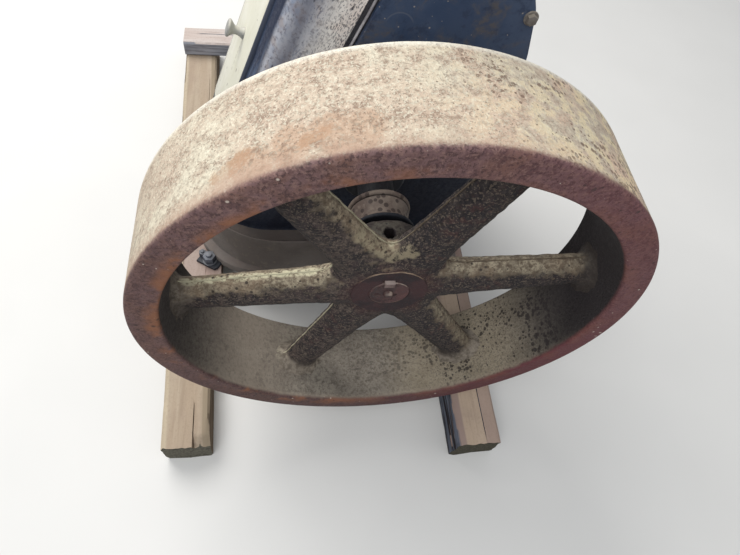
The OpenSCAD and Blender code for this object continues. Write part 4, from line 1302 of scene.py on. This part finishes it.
def foot_bolts():
    """Nuts on studs that hold the bedplate's foot down; the left ones stand on the packing beside it."""
    nuts = Form()
    clamps = Form()
    for y, way in ((478, 1), (1032, -1)):
        turn = math.radians(-32) * way
        c, s = math.cos(turn), math.sin(turn)
        plate = [(-34, -19), (30, -19), (36, -10), (36, 12), (28, 20), (-34, 20)]
        if way < 0:
            plate = [(u, -v) for u, v in reversed(plate)]
        clamps.slab(plate, lambda u, v, w: at(-446 + u * c - v * s, y + u * s + v * c, 120 + w), 10, 2)
        bolt(nuts, at(-444, y, 130), UP, 34, 24, 9, 0.3, 44, 3)
        bolt(nuts, at(-466, y + 21 * way, 130), UP, 20, 16, 4, 0.8)
        bolt(nuts, at(300, y + 4 * way, 150), UP, 30, 22, 12, 0.5, 44, 4)
    piece("foot_nuts", nuts, BLUE_NUT)
    piece("foot_clamps", clamps, CLAMP)


bed_piece()
case_piece()
panels()
covers()
bearings()
upper_works()
foot_bolts()


# Stage, light and camera

def add_object(name, data):
    made = bpy.data.objects.new(name, data)
    scene.collection.objects.link(made)
    return made


def stage():
    ground = bpy.data.meshes.new("floor")
    made = bmesh.new()
    bmesh.ops.create_circle(made, cap_ends=True, segments=96, radius=30)
    made.to_mesh(ground)
    made.free()
    floor = add_object("floor", ground)
    floor.location.z = -0.0006
    g = Graph("pale floor")
    camera_ray, glossy_ray, transmission_ray = (
        g.node("LightPath", {}, f"Is {kind} Ray") for kind in ("Camera", "Glossy", "Transmission"))
    seen = camera_ray | (glossy_ray | transmission_ray)
    pale = g.coats((232, 231, 228), (g.noise(3, 2, 0.5), 226, 225, 222))
    ground.materials.append(g.finish(g.coats((120, 112, 104), (seen, pale)), 0.9, specular=0.1))
    scene.world = bpy.data.worlds.new("studio")
    scene.world.use_nodes = True
    background = scene.world.node_tree.nodes["Background"]
    background.inputs["Color"].default_value = (0.80, 0.82, 0.85, 1)
    background.inputs["Strength"].default_value = 0.56
    for name, size, power, place, target, colour in (
        ("key", 3.0, 150, (-1.6, 1.9, 3.6), (0, -0.3, 0.7), (1.0, 0.985, 0.96)),
        ("fill", 2.4, 60, (-0.9, -2.6, 3.3), (0, -0.4, 0.7), (0.97, 0.985, 1.0)),
    ):
        light = bpy.data.lights.new(name, "AREA")
        light.shape = "SQUARE"
        light.size = size
        light.energy = power
        light.color = colour
        lamp = add_object(name, light)
        lamp.location = place
        lamp.rotation_euler = (Vector(target) - Vector(place)).to_track_quat("-Z", "Y").to_euler()


PHOTO_WIDTH = 740
FOCAL_PIXELS = 538.3
SENSOR = 36


def camera():
    """The photograph's camera; its axes and its place were worked out from the flywheel's rim circles."""
    lens = bpy.data.cameras.new("camera")
    lens.sensor_width = SENSOR
    lens.lens = FOCAL_PIXELS / PHOTO_WIDTH * SENSOR
    right = Vector((0.988, -0.0964, 0.1175))
    up = Vector((0.0216, 0.8543, 0.5193))
    back = Vector((-0.1505, -0.5108, 0.8462))
    place = Vector((-0.157, -1.212, 1.563)) + Vector((AXIS_X - 0.051, FRONT_Y + 0.75, 0))
    made = add_object("camera", lens)
    made.matrix_world = Matrix.Translation(place) @ Matrix((right, up, back)).transposed().to_4x4()
    scene.camera = made


stage()
camera()
scene.view_settings.view_transform = "Standard"
